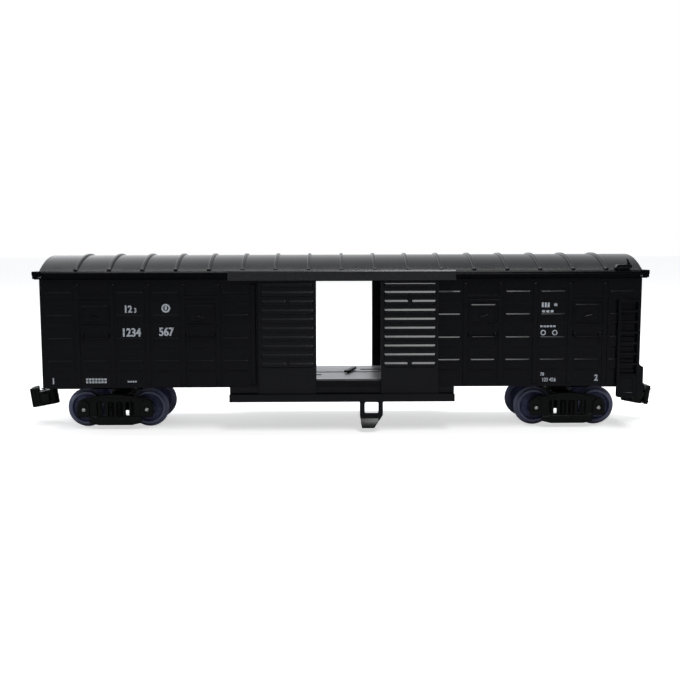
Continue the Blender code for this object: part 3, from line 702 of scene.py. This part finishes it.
# %% [markdown]
# ## Sliding doors
#
# Each door is a thin plate with ten pressed ribs. A rib is a bar with a sloped upper face,
# so it shows as a bright line under a light from above. The third and the tenth rib are broken
# by a latch lug. One door is modelled at X = 0 and copied to its four places.

# %% Door
DOOR_HALF = 8.95
DOOR_FACE = 18.3
RIB_FACE = 18.7
DOOR_RIB_TOP = 46.8
DOOR_RIB_PITCH = 2.76
DOOR_RIB_COUNT = 10
LUG_RIBS = (2, 9)


def door_rib(k):
    """One rib: a bar whose upper and lower outer edges are pushed back into slopes."""
    top = DOOR_RIB_TOP - DOOR_RIB_PITCH * k
    broken = k in LUG_RIBS
    spans = ((-8.0, -0.8), (0.8, 8.0)) if broken else ((-8.0, 8.0),)
    bars = []
    for start, stop in spans:
        bar = block("bar", (start, -RIB_FACE, top - 1.8), (stop, -DOOR_FACE + 0.2, top + 0.1))
        for vertex in bar.data.vertices:
            if vertex.co.y < -18.5 * MM:
                vertex.co.z += (-0.85 if vertex.co.z > (top - 0.9) * MM else 0.25) * MM
                vertex.co.x *= 1.0 - 0.25 * MM / abs(vertex.co.x)
        bars.append(soften(bar, 0.09, 2, 20.0))
    return bars


parts = [rounded("plate", (-DOOR_HALF, -DOOR_FACE, 11.4), (DOOR_HALF, -17.6, 47.6), 0.1, 2)]
for k in range(DOOR_RIB_COUNT):
    parts += door_rib(k)
parts.append(rounded("lower_panel", (-8.45, -18.52, 12.2), (8.45, -18.1, 20.3), 0.18, 3))
for side in (-1, 1):
    x = side * 8.5
    parts.append(rounded("border", (x - 0.35, -18.5, 12.2), (x + 0.35, -18.1, 46.9), 0.12))
for k in LUG_RIBS:
    top = DOOR_RIB_TOP - DOOR_RIB_PITCH * k
    parts.append(rounded("lug", (-0.45, -18.95, top - 1.7), (0.45, -18.1, top + 0.3), 0.2, 3))
door = join(parts, "door")
DOOR_NODES = ("door_front_left", "door_front_right", "door_rear_left", "door_rear_right")
for node in DOOR_NODES:
    low, high = size_of(node)
    turn_z = math.pi if "rear" in node else 0.0
    copy = duplicate(door, node + "_panel", ((low.x + high.x) / 2, 0, 0), turn_z)
    body = "_".join(node.split("_")[1:]) + "_door"
    dress(copy, door_plastic, body, [node], 25.0)
bpy.data.objects.remove(door)
print("doors", len(DOOR_NODES))

# %% [markdown]
# ## Wheels and axles
#
# A wheel is a turned part: its profile is drawn as a thin ring of faces and spun round the axle,
# then the seam is closed. All eight are the same, so one is spun and copied.

# %% Wheel
WHEEL_PROFILE = [
    (1.05, 7.2), (5.0, 7.2), (5.9, 7.22), (6.17, 7.3), (6.25, 7.5), (6.2, 7.72), (5.95, 7.92), (5.55, 8.05),
    (5.4, 8.15), (5.34, 8.3), (5.24, 9.0), (5.1, 9.18), (4.62, 9.2), (4.48, 9.15), (4.38, 9.0), (4.28, 8.6),
    (4.0, 8.4), (2.6, 8.4), (2.3, 8.5), (2.1, 8.8), (1.95, 9.35), (1.8, 9.5), (1.05, 9.5),
]


def turned(name, profile, steps=96):
    """Spin a closed (radius, position along Y) outline round the Y axis."""
    fresh()
    bpy.ops.mesh.primitive_circle_add(vertices=len(profile), radius=1.0, fill_type="NGON")
    piece = settle(name)
    for vertex, (radius, along) in zip(piece.data.vertices, profile):
        vertex.co = Vector((radius, along, 0.0)) * MM
    choose(piece, lambda centre, normal: True)
    bpy.ops.mesh.delete(type="ONLY_FACE")
    bpy.context.tool_settings.mesh_select_mode = (False, True, False)
    bpy.ops.mesh.select_all(action="SELECT")
    bpy.ops.mesh.spin(steps=steps, angle=2 * math.pi, center=(0, 0, 0), axis=(0, 1, 0))
    bpy.ops.mesh.select_all(action="SELECT")
    bpy.ops.mesh.remove_doubles(threshold=0.000002)
    bpy.ops.mesh.normals_make_consistent(inside=False)
    bpy.ops.object.mode_set(mode="OBJECT")
    return piece


wheel = turned("wheel", WHEEL_PROFILE)
AXLE_PROFILE = [(0.0, 13.4), (0.3, 13.38), (0.5, 13.25), (0.55, 13.1), (0.55, 11.5), (0.95, 11.3),
                (1.0, 11.2), (1.0, 0.0)]
axle_half = AXLE_PROFILE + [(radius, -along) for radius, along in reversed(AXLE_PROFILE[:-1])]
axle = turned("axle", axle_half, 48)
wheel_low, wheel_high = size_of("wheel_left_outer_front")
AXLE_Z = (wheel_low.z + wheel_high.z) / 2
for end in ("left", "right"):
    for where in ("outer", "inner"):
        label = f"{end}_{where}"
        low, high = size_of(f"axle_{label}")
        centre = Vector(((low.x + high.x) / 2, 0.0, AXLE_Z))
        body = f"{label}_wheelset"
        metal = blued_steel(f"blued_steel_{label}", centre * MM)
        for place, turn_z in (("front", math.pi), ("rear", 0.0)):
            copy = duplicate(wheel, f"wheel_{label}_{place}_turned", centre, turn_z)
            dress(copy, metal, body, [f"wheel_{label}_{place}"], 30.0)
        copy = duplicate(axle, f"axle_{label}_turned", centre)
        dress(copy, axle_steel, body, [f"axle_{label}"], 30.0)
bpy.data.objects.remove(wheel)
bpy.data.objects.remove(axle)
print("axle height", round(AXLE_Z, 2), "mm")

# %% [markdown]
# ## Door sills and the step
#
# The lower door rail is a trough: its outer lip keeps the door's foot in, and its web closes the
# space up to the wall. The front rail also carries a step. Its loop is one flat shape with an
# eye cut through it, and the foot curls outwards, which makes it stiff and catches the light.

# %% Sills
SILL_OUTLINE = [(19.0, 9.5), (16.2, 9.5), (16.2, 13.96), (17.02, 13.96), (17.02, 11.1), (18.5, 11.1),
                (18.5, 11.9), (19.0, 11.9)]
LOOP_OUTLINE = [(5.0, 10.2), (5.5, 9.2), (5.5, 4.9), (5.9, 2.9), (10.9, 2.9), (11.6, 3.5), (12.7, 5.2),
                (12.7, 9.2), (13.2, 10.2)]
FOOT_OUTLINE = [(-18.0, 4.6), (-18.7, 4.2), (-19.3, 3.1), (-20.0, 1.7), (-20.0, 1.4), (-19.7, 1.3),
                (-19.0, 2.5), (-18.0, 3.6)]
for node, side in (("door_sill_front", -1), ("door_sill_rear", 1)):
    rail = cut_out(node + "_rail", mirrored(SILL_OUTLINE, side), "X", -TRACK_HALF, TRACK_HALF)
    rail = soften(rail, 0.1, 2)
    if side < 0:
        loop = soften(cut_out("loop", LOOP_OUTLINE, "Y", -18.7, -17.7), 0.35, 4, 25.0)
        eye = rounded("eye", (7.0, -20.0, 5.8), (11.3, -17.0, 9.35), 0.5, 4)
        loop = carve(loop, eye)
        foot = cut_out("foot", FOOT_OUTLINE, "X", 6.1, 10.0)
        for vertex in foot.data.vertices:
            if vertex.co.z > 2.8 * MM:
                vertex.co.x += (-0.4 if vertex.co.x < 8.0 * MM else 1.3) * MM
        rail = join([rail, loop, soften(foot, 0.12, 2, 40.0)], rail.name)
    dress(rail, door_plastic, "wagon", [node], 30.0)
print("sills", [round(v, 1) for v in size_of("door_sill_front")[0]])

# %% [markdown]
# ## Bogie frames
#
# Each bogie frame is one moulding: two sideframes, the bolster between them and the bar that
# carries the coupler. The cast detail of a sideframe is a raised rim, axle boxes with
# pointed tops, coil springs in their pockets and a spring plank below. It is built once, pointing
# outwards along +X, and the left one is turned round.

# %% Sideframe
HALF_BASE = 9.95
BOGIE_X = (size_of("axle_right_outer")[0].x + size_of("axle_right_inner")[1].x) / 2
FRAME_TOP = [(-12.0, 7.4), (-11.5, 8.9), (-10.6, 9.6), (-9.2, 9.9), (-7.0, 10.4), (-4.6, 10.9),
             (-2.2, 11.15)]
FRAME_BOTTOM = [(-3.2, 1.5), (-4.9, 1.9), (-6.2, 3.3), (-8.2, 3.8), (-11.2, 4.0), (-12.0, 5.0)]
ARCH_RIM = [(-9.0, 9.2), (-4.6, 10.2), (0.0, 10.55), (4.6, 10.2), (9.0, 9.2), (9.0, 9.75), (4.6, 10.85),
            (0.0, 11.2), (-4.6, 10.85), (-9.0, 9.75)]
PLANK = [(-8.0, 2.0), (-5.2, 1.35), (5.2, 1.35), (8.0, 2.0), (8.6, 3.3), (5.2, 3.9), (-5.2, 3.9),
         (-8.6, 3.3)]
PLANK_STEP = [(0.9, 2.5), (1.9, 1.5), (4.0, 1.5), (4.8, 2.5), (3.2, 3.4), (2.4, 3.4)]
AXLE_BOX = [(-1.9, 3.9), (-1.75, 8.0), (-0.5, 9.5), (0.5, 9.5), (1.75, 8.0), (1.9, 3.9)]
# Openings on each half: middle, half width and the depth that they reach.
WINDOWS = ((3.8, 0.6, -11.0), (5.55, 0.32, -12.2), (1.35, 0.95, -12.0))
SPRINGS = (-1.35, 1.35)
COILS = 6
COIL_PITCH = 0.68
PILLAR = 4.8


def axle_hole(x):
    """A cutter for the hole that the end of an axle shows in."""
    return rod("axle_hole", (x, -13.0, AXLE_Z), 0.72, 6.0, "Y", 28)


def sideframe():
    """The front sideframe in its own place, in front of Y = 0."""
    left = FRAME_BOTTOM + FRAME_TOP
    plate = cut_out("sideframe", left + [(-x, z) for x, z in reversed(left)], "Y", -13.15, -11.9)
    raise_area(plate, lambda centre, normal: normal.y < -0.9, 0.5, 0.0)
    raise_area(plate, lambda centre, normal: normal.y < -0.9 and abs(centre.x) < 5
               and 5 < centre.z < 8, 0.2, -0.4)
    cutters = []
    for x, half, back in WINDOWS:
        for sign in (-1, 1):
            middle = sign * x
            cutters.append(rounded("window", (middle - half, -14.0, 4.3), (middle + half, back, 8.6), 0.3, 3))
    plate = carve(plate, join(cutters, "windows"))
    for sign in (-1, 1):
        plate = carve(plate, axle_hole(sign * HALF_BASE))
    parts = [soften(plate, 0.1, 2, 30.0)]
    for sign in (-1, 1):
        x = sign * HALF_BASE
        axle_box = soften(cut_out("axle_box", [(x + a, z) for a, z in AXLE_BOX], "Y", -13.4, -12.6), 0.22, 3)
        axle_box = carve(axle_box, soften(rod("hollow", (x, -13.4, AXLE_Z), 1.25, 0.6, "Y", 28), 0.1, 2))
        parts.append(carve(axle_box, axle_hole(x)))
        x = sign * PILLAR
        parts.append(rounded("pillar", (x - 0.34, -13.5, 4.1), (x + 0.34, -12.7, 8.9), 0.2, 3))
    for x in SPRINGS:
        for k in range(COILS):
            coil = rod("coil", (x, -12.75, 4.75 + COIL_PITCH * k), 0.68, 0.44, "Z", 20)
            parts.append(soften(coil, 0.17, 3))
    parts.append(soften(cut_out("arch_rim", ARCH_RIM, "Y", -13.45, -12.8), 0.12, 2, 40.0))
    parts.append(soften(cut_out("spring_plank", PLANK, "Y", -13.35, -12.6), 0.2, 3))
    parts.append(soften(cut_out("plank_step", PLANK_STEP, "Y", -13.6, -13.2), 0.14, 2))
    return join(parts, "sideframe")


# %% Whole bogie frame
frame_parts = []
side = sideframe()
frame_parts.append(duplicate(side, "side_rear", (0, 0, 0), math.pi))
frame_parts.append(side)
screw_low, screw_high = size_of("coupler_screw_right")
COUPLER_REACH = (screw_low.x + screw_high.x) / 2 - BOGIE_X
BAR_HALF = 2.6
frame_parts.append(rounded("bolster", (-3.2, -12.2, 8.7), (3.2, 12.2, 10.5), 0.25, 3))
frame_parts.append(soften(rod("centre_pad", (0, 0, 11.0), 3.8, 3.0, "Z", 48), 0.2, 3))
root = COUPLER_REACH - 1.2
bar = [(0.5, -BAR_HALF), (root, -BAR_HALF)] + arc(COUPLER_REACH, 2.2, -80, 80, 20)
bar += [(root, BAR_HALF), (0.5, BAR_HALF)]
frame_parts.append(soften(cut_out("drawbar", bar, "Z", 11.25, 12.5), 0.15, 2))
bogie = join(frame_parts, "bogie_frame")
for end, turn_z, sign in (("left", math.pi, -1), ("right", 0.0, 1)):
    copy = duplicate(bogie, f"bogie_frame_{end}_cast", (sign * BOGIE_X, 0, 0), turn_z)
    dress(copy, chassis_plastic, f"{end}_bogie", [f"bogie_frame_{end}"], 30.0)
bpy.data.objects.remove(bogie)
print("bogies at", round(BOGIE_X, 2), "mm, coupler pivot", round(COUPLER_REACH, 2), "mm further out")

# %% [markdown]
# ## Couplers
#
# A coupler is a flat eye on its screw and a head with a tall guard arm; the knuckle swings on
# its own pin beside it. Both hang eight degrees down, because the eye is loose. They are
# modelled level, pointing outwards from the pivot, and then tilted about the top of the eye.

# %% Coupler head and knuckle
COUPLER_DROOP = math.radians(8.0)
EYE_TOP = 10.9
EYE_RADIUS = 1.9
HEAD_PLAN = [(1.2, -2.4), (1.9, -3.2), (3.3, -3.3), (4.1, -2.8), (4.4, -1.9), (4.0, -0.9), (3.0, -0.3),
             (2.9, 1.0), (3.8, 1.9), (5.9, 2.3), (6.2, 2.9), (5.5, 3.4), (2.7, 3.3), (1.2, 2.4)]
NOSE_PLAN = [(4.8, -3.3), (5.8, -3.3), (6.3, -2.8), (6.3, 0.6), (5.9, 1.0), (5.3, 0.8), (4.8, -0.4)]


def coupler_head():
    body = cut_out("coupler_head", arc(0, EYE_RADIUS, 90, 270, 20) + HEAD_PLAN, "Z", 6.2, EYE_TOP)
    body = carve(body, block("knuckle_slot", (1.75, -5.0, 8.0), (6.1, -0.1, 10.2)))
    parts = [soften(body, 0.12, 2)]
    parts.append(rounded("guard", (3.2, 2.4, 6.15), (6.0, 3.35, 12.4), 0.2, 3))
    for x in (3.5, 4.6, 5.7):
        parts.append(rounded("guard_rib", (x - 0.25, 3.2, 6.3), (x + 0.25, 3.62, 12.2), 0.15, 2))
    parts.append(rounded("cheek", (0.2, 2.0, 7.2), (3.0, 3.5, 9.8), 0.25, 3))
    parts.append(rounded("cheek", (0.2, -3.45, 6.6), (2.6, -2.0, 7.9), 0.2, 3))
    return join(parts, "coupler_head")


def coupler_knuckle():
    parts = [soften(cut_out("nose", NOSE_PLAN, "Z", 6.2, 12.4), 0.2, 3, 25.0)]
    parts.append(soften(rod("ear", (3.0, -1.9, 9.1), 1.1, 1.6, "Z", 28), 0.12, 2))
    parts.append(rounded("arm", (3.2, -2.9, 8.4), (5.2, -1.0, 9.8), 0.2, 2))
    for z in (7.2, 11.4):
        parts.append(rounded("nose_rib", (4.9, -3.55, z - 0.3), (6.2, -3.2, z + 0.3), 0.14, 2))
    return join(parts, "coupler_knuckle")


def hang(piece, sign):
    """Tilt a coupler piece about the top of its eye and carry it to its end of the wagon."""
    hinge = Matrix.Translation(Vector((0, 0, EYE_TOP)) * MM)
    tilt = hinge @ Matrix.Rotation(COUPLER_DROOP, 4, "Y") @ hinge.inverted()
    facing = Matrix.Rotation(math.pi if sign < 0 else 0.0, 4, "Z")
    place = Matrix.Translation(Vector((sign * (BOGIE_X + COUPLER_REACH), 0, 0)) * MM)
    piece.data.transform(place @ facing @ tilt)
    return piece


for end, sign in (("left", -1), ("right", 1)):
    head = hang(coupler_head(), sign)
    head.name = f"coupler_head_{end}_moulded"
    dress(head, chassis_plastic, f"{end}_coupler", [f"coupler_head_{end}"], 30.0)
    knuckle = hang(coupler_knuckle(), sign)
    knuckle.name = f"coupler_knuckle_{end}_moulded"
    dress(knuckle, chassis_plastic, f"{end}_knuckle", [f"coupler_knuckle_{end}"], 30.0)
print("couplers hung")

# %% [markdown]
# ## Ladders and roof steps
#
# A ladder stands at two opposite corners, with a small tread on the roof above it. The stiles and
# rungs are one flat moulding, so the bays between the rungs are cut out of a plate.

# %% Ladder
LADDER_OUTLINE = [(85.5, 41.0), (85.5, 10.9), (85.9, 10.5), (87.6, 10.3), (93.8, 10.2), (93.8, 20.0),
                  (92.7, 20.6), (92.4, 21.4), (92.4, 41.0)]
RUNG_COUNT = 7
RUNG_PITCH = 3.3
RUNG_HEIGHT = 0.7
FIRST_BAY = 40.3


def dress_corners(piece, kind):
    """Dress a corner piece at the front right, and a copy turned half round at the rear left."""
    rear = duplicate(piece, f"{kind}_left_rear_moulded", (0, 0, 0), math.pi)
    dress(rear, body_plastic, "wagon", [f"{kind}_left_rear"])
    piece.name = f"{kind}_right_front_moulded"
    dress(piece, body_plastic, "wagon", [f"{kind}_right_front"])


ladder = cut_out("ladder", LADDER_OUTLINE, "Y", -18.4, -17.6)
bays = []
for k in range(RUNG_COUNT):
    top = FIRST_BAY - RUNG_PITCH * k
    bays.append(block("bay", (86.4, -19.5, top - RUNG_PITCH + RUNG_HEIGHT), (91.5, -16.5, top)))
ladder = carve(ladder, join(bays, "bays"))
ladder = soften(carve(ladder, rounded("panel", (86.5, -19.5, 11.8), (90.6, -18.15, 16.6), 0.15)), 0.09, 2)
ribs = [rounded("edge_rib", (91.6, -18.65, 10.6), (92.3, -18.3, 40.6), 0.14),
        rounded("shelf", (86.2, -18.6, 16.9), (91.4, -18.3, 17.5), 0.14),
        rounded("shelf", (86.2, -18.6, 11.0), (91.4, -18.3, 11.5), 0.12)]
dress_corners(join([ladder] + ribs, "ladder"), "ladder")

# %% Roof step
TREAD_OUTLINE = [(84.2, 50.75), (89.4, 50.75), (89.4, 51.8), (84.9, 51.8)]
FIN_OUTLINE = [(88.0, 51.5), (89.3, 51.5), (88.9, 52.3), (88.2, 53.5), (87.8, 53.6), (88.1, 52.6)]
STEP_FEET = (85.4, 88.4)
tread = soften(cut_out("roof_step", TREAD_OUTLINE, "Y", -18.3, -16.2), 0.16, 3)
fin = soften(cut_out("fin", FIN_OUTLINE, "Y", -17.6, -16.8), 0.14, 2)
feet = [rounded("foot", (x - 0.35, -18.2, 50.15), (x + 0.35, -17.6, 51.0), 0.1) for x in STEP_FEET]
dress_corners(join([tread, fin] + feet, "roof_step"), "roof_step")
print("ladders and roof steps placed")

# %% [markdown]
# ## Printed markings
#
# Pad printing lies a few hundredths of a millimetre on the surface. The markings here are plain
# counting digits and bars, in the places where a wagon carries its running data. Each is a text
# curve made into a mesh before it is moved, so its place ends up in its mesh.

# %% Digits, bars and rings
PRINT_THICKNESS = 0.03
DIGIT_NARROWING = 0.84
BOLD = 0.055
BOLD_LIFT = 0.004
RING_BORE = 0.62
WALL_PRINT = -WALL_FACE
prints = []


def printed_digits(text, x, z, height):
    """Digits centred at x, standing on z."""
    fresh()
    bpy.ops.object.text_add(location=(0, 0, 0))
    label = bpy.context.active_object
    label.data.body = text
    label.data.size = 1.0
    label.data.align_x = "CENTER"
    label.data.offset = 0.018
    label.data.extrude = 0.001
    bpy.ops.object.convert(target="MESH")
    label = bpy.context.active_object
    tall = max(vertex.co.y for vertex in label.data.vertices)
    scale = height * MM / tall
    flat = Matrix.Diagonal((scale * DIGIT_NARROWING, scale, PRINT_THICKNESS * MM / 0.002, 1.0))
    upright = Matrix.Rotation(math.pi / 2, 4, "X")
    label.data.transform(Matrix.Translation(Vector((x, WALL_PRINT, z)) * MM) @ upright @ flat)
    prints.append(label)
    # A second copy, moved by a small part of its height, makes the figures bold.
    prints.append(duplicate(label, "bold", (height * BOLD, -BOLD_LIFT, 0)))


def printed_bar(x, z, width, height):
    prints.append(block("bar", (x - width / 2, WALL_PRINT - PRINT_THICKNESS, z),
                        (x + width / 2, WALL_PRINT, z + height)))


def printed_ring(x, z, radius):
    ring = rod("ring", (x, WALL_PRINT - PRINT_THICKNESS / 2, z), radius, PRINT_THICKNESS, "Y", 40)
    hole = rod("hole", (x, WALL_PRINT, z), radius * RING_BORE, 1.0, "Y", 40)
    prints.append(carve(ring, hole))


printed_digits("1234", -PANELS[3] + 0.2, 30.0, 2.55)
printed_digits("567", -PANELS[2] + 0.2, 30.2, 2.55)
printed_digits("12", -PANELS[3] - 0.6, 37.4, 2.2)
printed_digits("3", -PANELS[3] + 1.7, 37.4, 1.4)
printed_ring(-PANELS[2] + 0.3, 38.7, 1.35)
printed_bar(-PANELS[2] + 0.3, 38.1, 0.7, 1.2)
printed_digits("1", -89.7, 15.2, 1.9)
printed_digits("2", 79.4, 15.6, 1.9)
for row in (15.4, 16.3):
    for k in range(7):
        printed_bar(-PANELS[4] - 2.9 + 0.95 * k, row, 0.72, 0.62)
for k in range(4):
    printed_bar(-PANELS[3] - 0.9 + 0.75 * k, 15.6, 0.55, 0.5)
for k in range(3):
    printed_bar(62.3 + 0.9 * k, 38.6, 0.6, 1.5)
    printed_bar(62.6 + 1.3 * k, 37.0, 0.9, 0.7)
for k in range(5):
    printed_bar(62.0 + 1.0 * k, 32.4, 0.75, 0.55)
printed_bar(66.3, 38.9, 0.9, 0.9)
printed_ring(62.6, 30.7, 0.85)
printed_ring(66.2, 30.7, 0.85)
printed_digits("123 456", PANELS[3] - 0.9, 15.4, 1.15)
printed_digits("78", PANELS[3] - 3.0, 17.2, 1.0)
markings = join(prints, "printed_markings")
dress(markings, marking_white, "wagon")
print("markings", len(markings.data.polygons), "faces")

# %% [markdown]
# ## Carried-over pieces
#
# The floor, its steel strips and the screws have their true shape already, so they keep it and
# only take a finish. The floor goes in the chassis plastic and the strips in zinc.

# %% Finishes of the kept nodes
KEPT = {
    "underframe": chassis_plastic,
    "ballast_strip_front": floor_zinc,
    "ballast_strip_rear": floor_zinc,
    "ballast_clip": chassis_plastic,
    "bogie_pivot_screw_left": screw_steel,
    "bogie_pivot_screw_right": screw_steel,
    "coupler_screw_left": screw_steel,
    "coupler_screw_right": screw_steel,
    "knuckle_pin_left": screw_steel,
    "knuckle_pin_right": screw_steel,
}
for node, material in KEPT.items():
    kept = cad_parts[node]
    kept.data.materials.clear()
    kept.data.materials.append(material)
print("kept nodes", len(KEPT))

# %% [markdown]
# ## Studio
#
# Black plastic shows only what it reflects. The walls lean on a dim front, and the roof looks at
# a bright sky at a grazing angle, so the surroundings are white above and behind, and dim on
# the side of the camera. A tall, narrow softbox in front and to the right draws the bright lines
# on ribs and pads, and a wide soft light hangs overhead.

# %% Surroundings
FRONT_GLOW = 0.11
SKY_GLOW = 1.35
world = bpy.data.worlds.new("studio")
bpy.context.scene.world = world
sky = Graph(world)
sky.tree.nodes.clear()
direction = sky.node("ShaderNodeTexCoord", output="Generated")
across = sky.node("ShaderNodeSeparateXYZ", {}, {"Vector": direction}, output="X")
away = sky.node("ShaderNodeSeparateXYZ", {}, {"Vector": direction}, output="Y")
upward = sky.node("ShaderNodeSeparateXYZ", {}, {"Vector": direction}, output="Z")
behind = sky.node("ShaderNodeMapRange", {"interpolation_type": "SMOOTHSTEP"},
                  {"Value": away * 0.7 + upward * 0.7, "From Min": -0.25, "From Max": 0.65,
                   "To Min": FRONT_GLOW, "To Max": SKY_GLOW})
sideways = sky.node("ShaderNodeMapRange", {}, {"Value": across, "From Min": -0.35, "From Max": 0.35,
                                              "To Min": -0.35, "To Max": 0.35})
leftward = 0.78 - sideways * 1.07 + sideways * sideways * 1.6
overhead = 1.0 - upward * 0.25 - upward * upward * 0.65
glow = behind * leftward * overhead
seen = sky.node("ShaderNodeLightPath", output="Is Camera Ray")
plain = sky.node("ShaderNodeBackground", {}, {"Color": (1, 1, 1, 1), "Strength": 1.0})
lit = sky.node("ShaderNodeBackground", {}, {"Color": (0.95, 0.97, 1.0, 1), "Strength": glow})
both = sky.node("ShaderNodeMixShader", {}, {0: seen, 1: lit, 2: plain})
sky.node("ShaderNodeOutputWorld", {}, {"Surface": both}, output=None)

# %% Floor
fresh()
bpy.ops.mesh.primitive_plane_add(size=6.0, location=(0, 0, 0))
floor = settle("floor")
paper = Graph(bpy.data.materials.new("floor_paper"))
in_mirror = paper.node("ShaderNodeLightPath", output="Is Glossy Ray")
looked_at = paper.node("ShaderNodeLightPath", output="Is Camera Ray")
fibre = paper.noise(300.0, 3.0)
paper_tone = paper.mix(in_mirror, (0.88, 0.88, 0.88, 1.0), (0.16, 0.16, 0.17, 1.0))
paper_lift = paper.mix(looked_at, (0.0, 0.0, 0.0, 1.0), (0.58, 0.58, 0.58, 1.0))
floor.data.materials.append(paper.finish(Base_Color=paper_tone, Roughness=0.85 + fibre * 0.1,
                                         Specular_IOR_Level=0.0, Emission_Color=paper_lift,
                                         Emission_Strength=1.0))


# %% Lights
def soft_light(name, place, aim, size, watts):
    data = bpy.data.lights.new(name, "AREA")
    data.shape = "RECTANGLE"
    data.size, data.size_y = size
    data.energy = watts
    lamp = bpy.data.objects.new(name, data)
    bpy.context.scene.collection.objects.link(lamp)
    lamp.location = place
    lamp.rotation_euler = (Vector(aim) - Vector(place)).to_track_quat("-Z", "Y").to_euler()
    lamp.visible_camera = False
    return lamp


soft_light("overhead", (0.0, 0.12, 0.60), (0.0, 0.0, 0.03), (0.5, 0.2), 2.0)
soft_light("right_softbox", (0.0975, -0.26, 0.46), (0.0975, 0.0, 0.03), (0.135, 0.36), 1.0)
bpy.context.scene.view_settings.view_transform = "Standard"
print("studio ready")
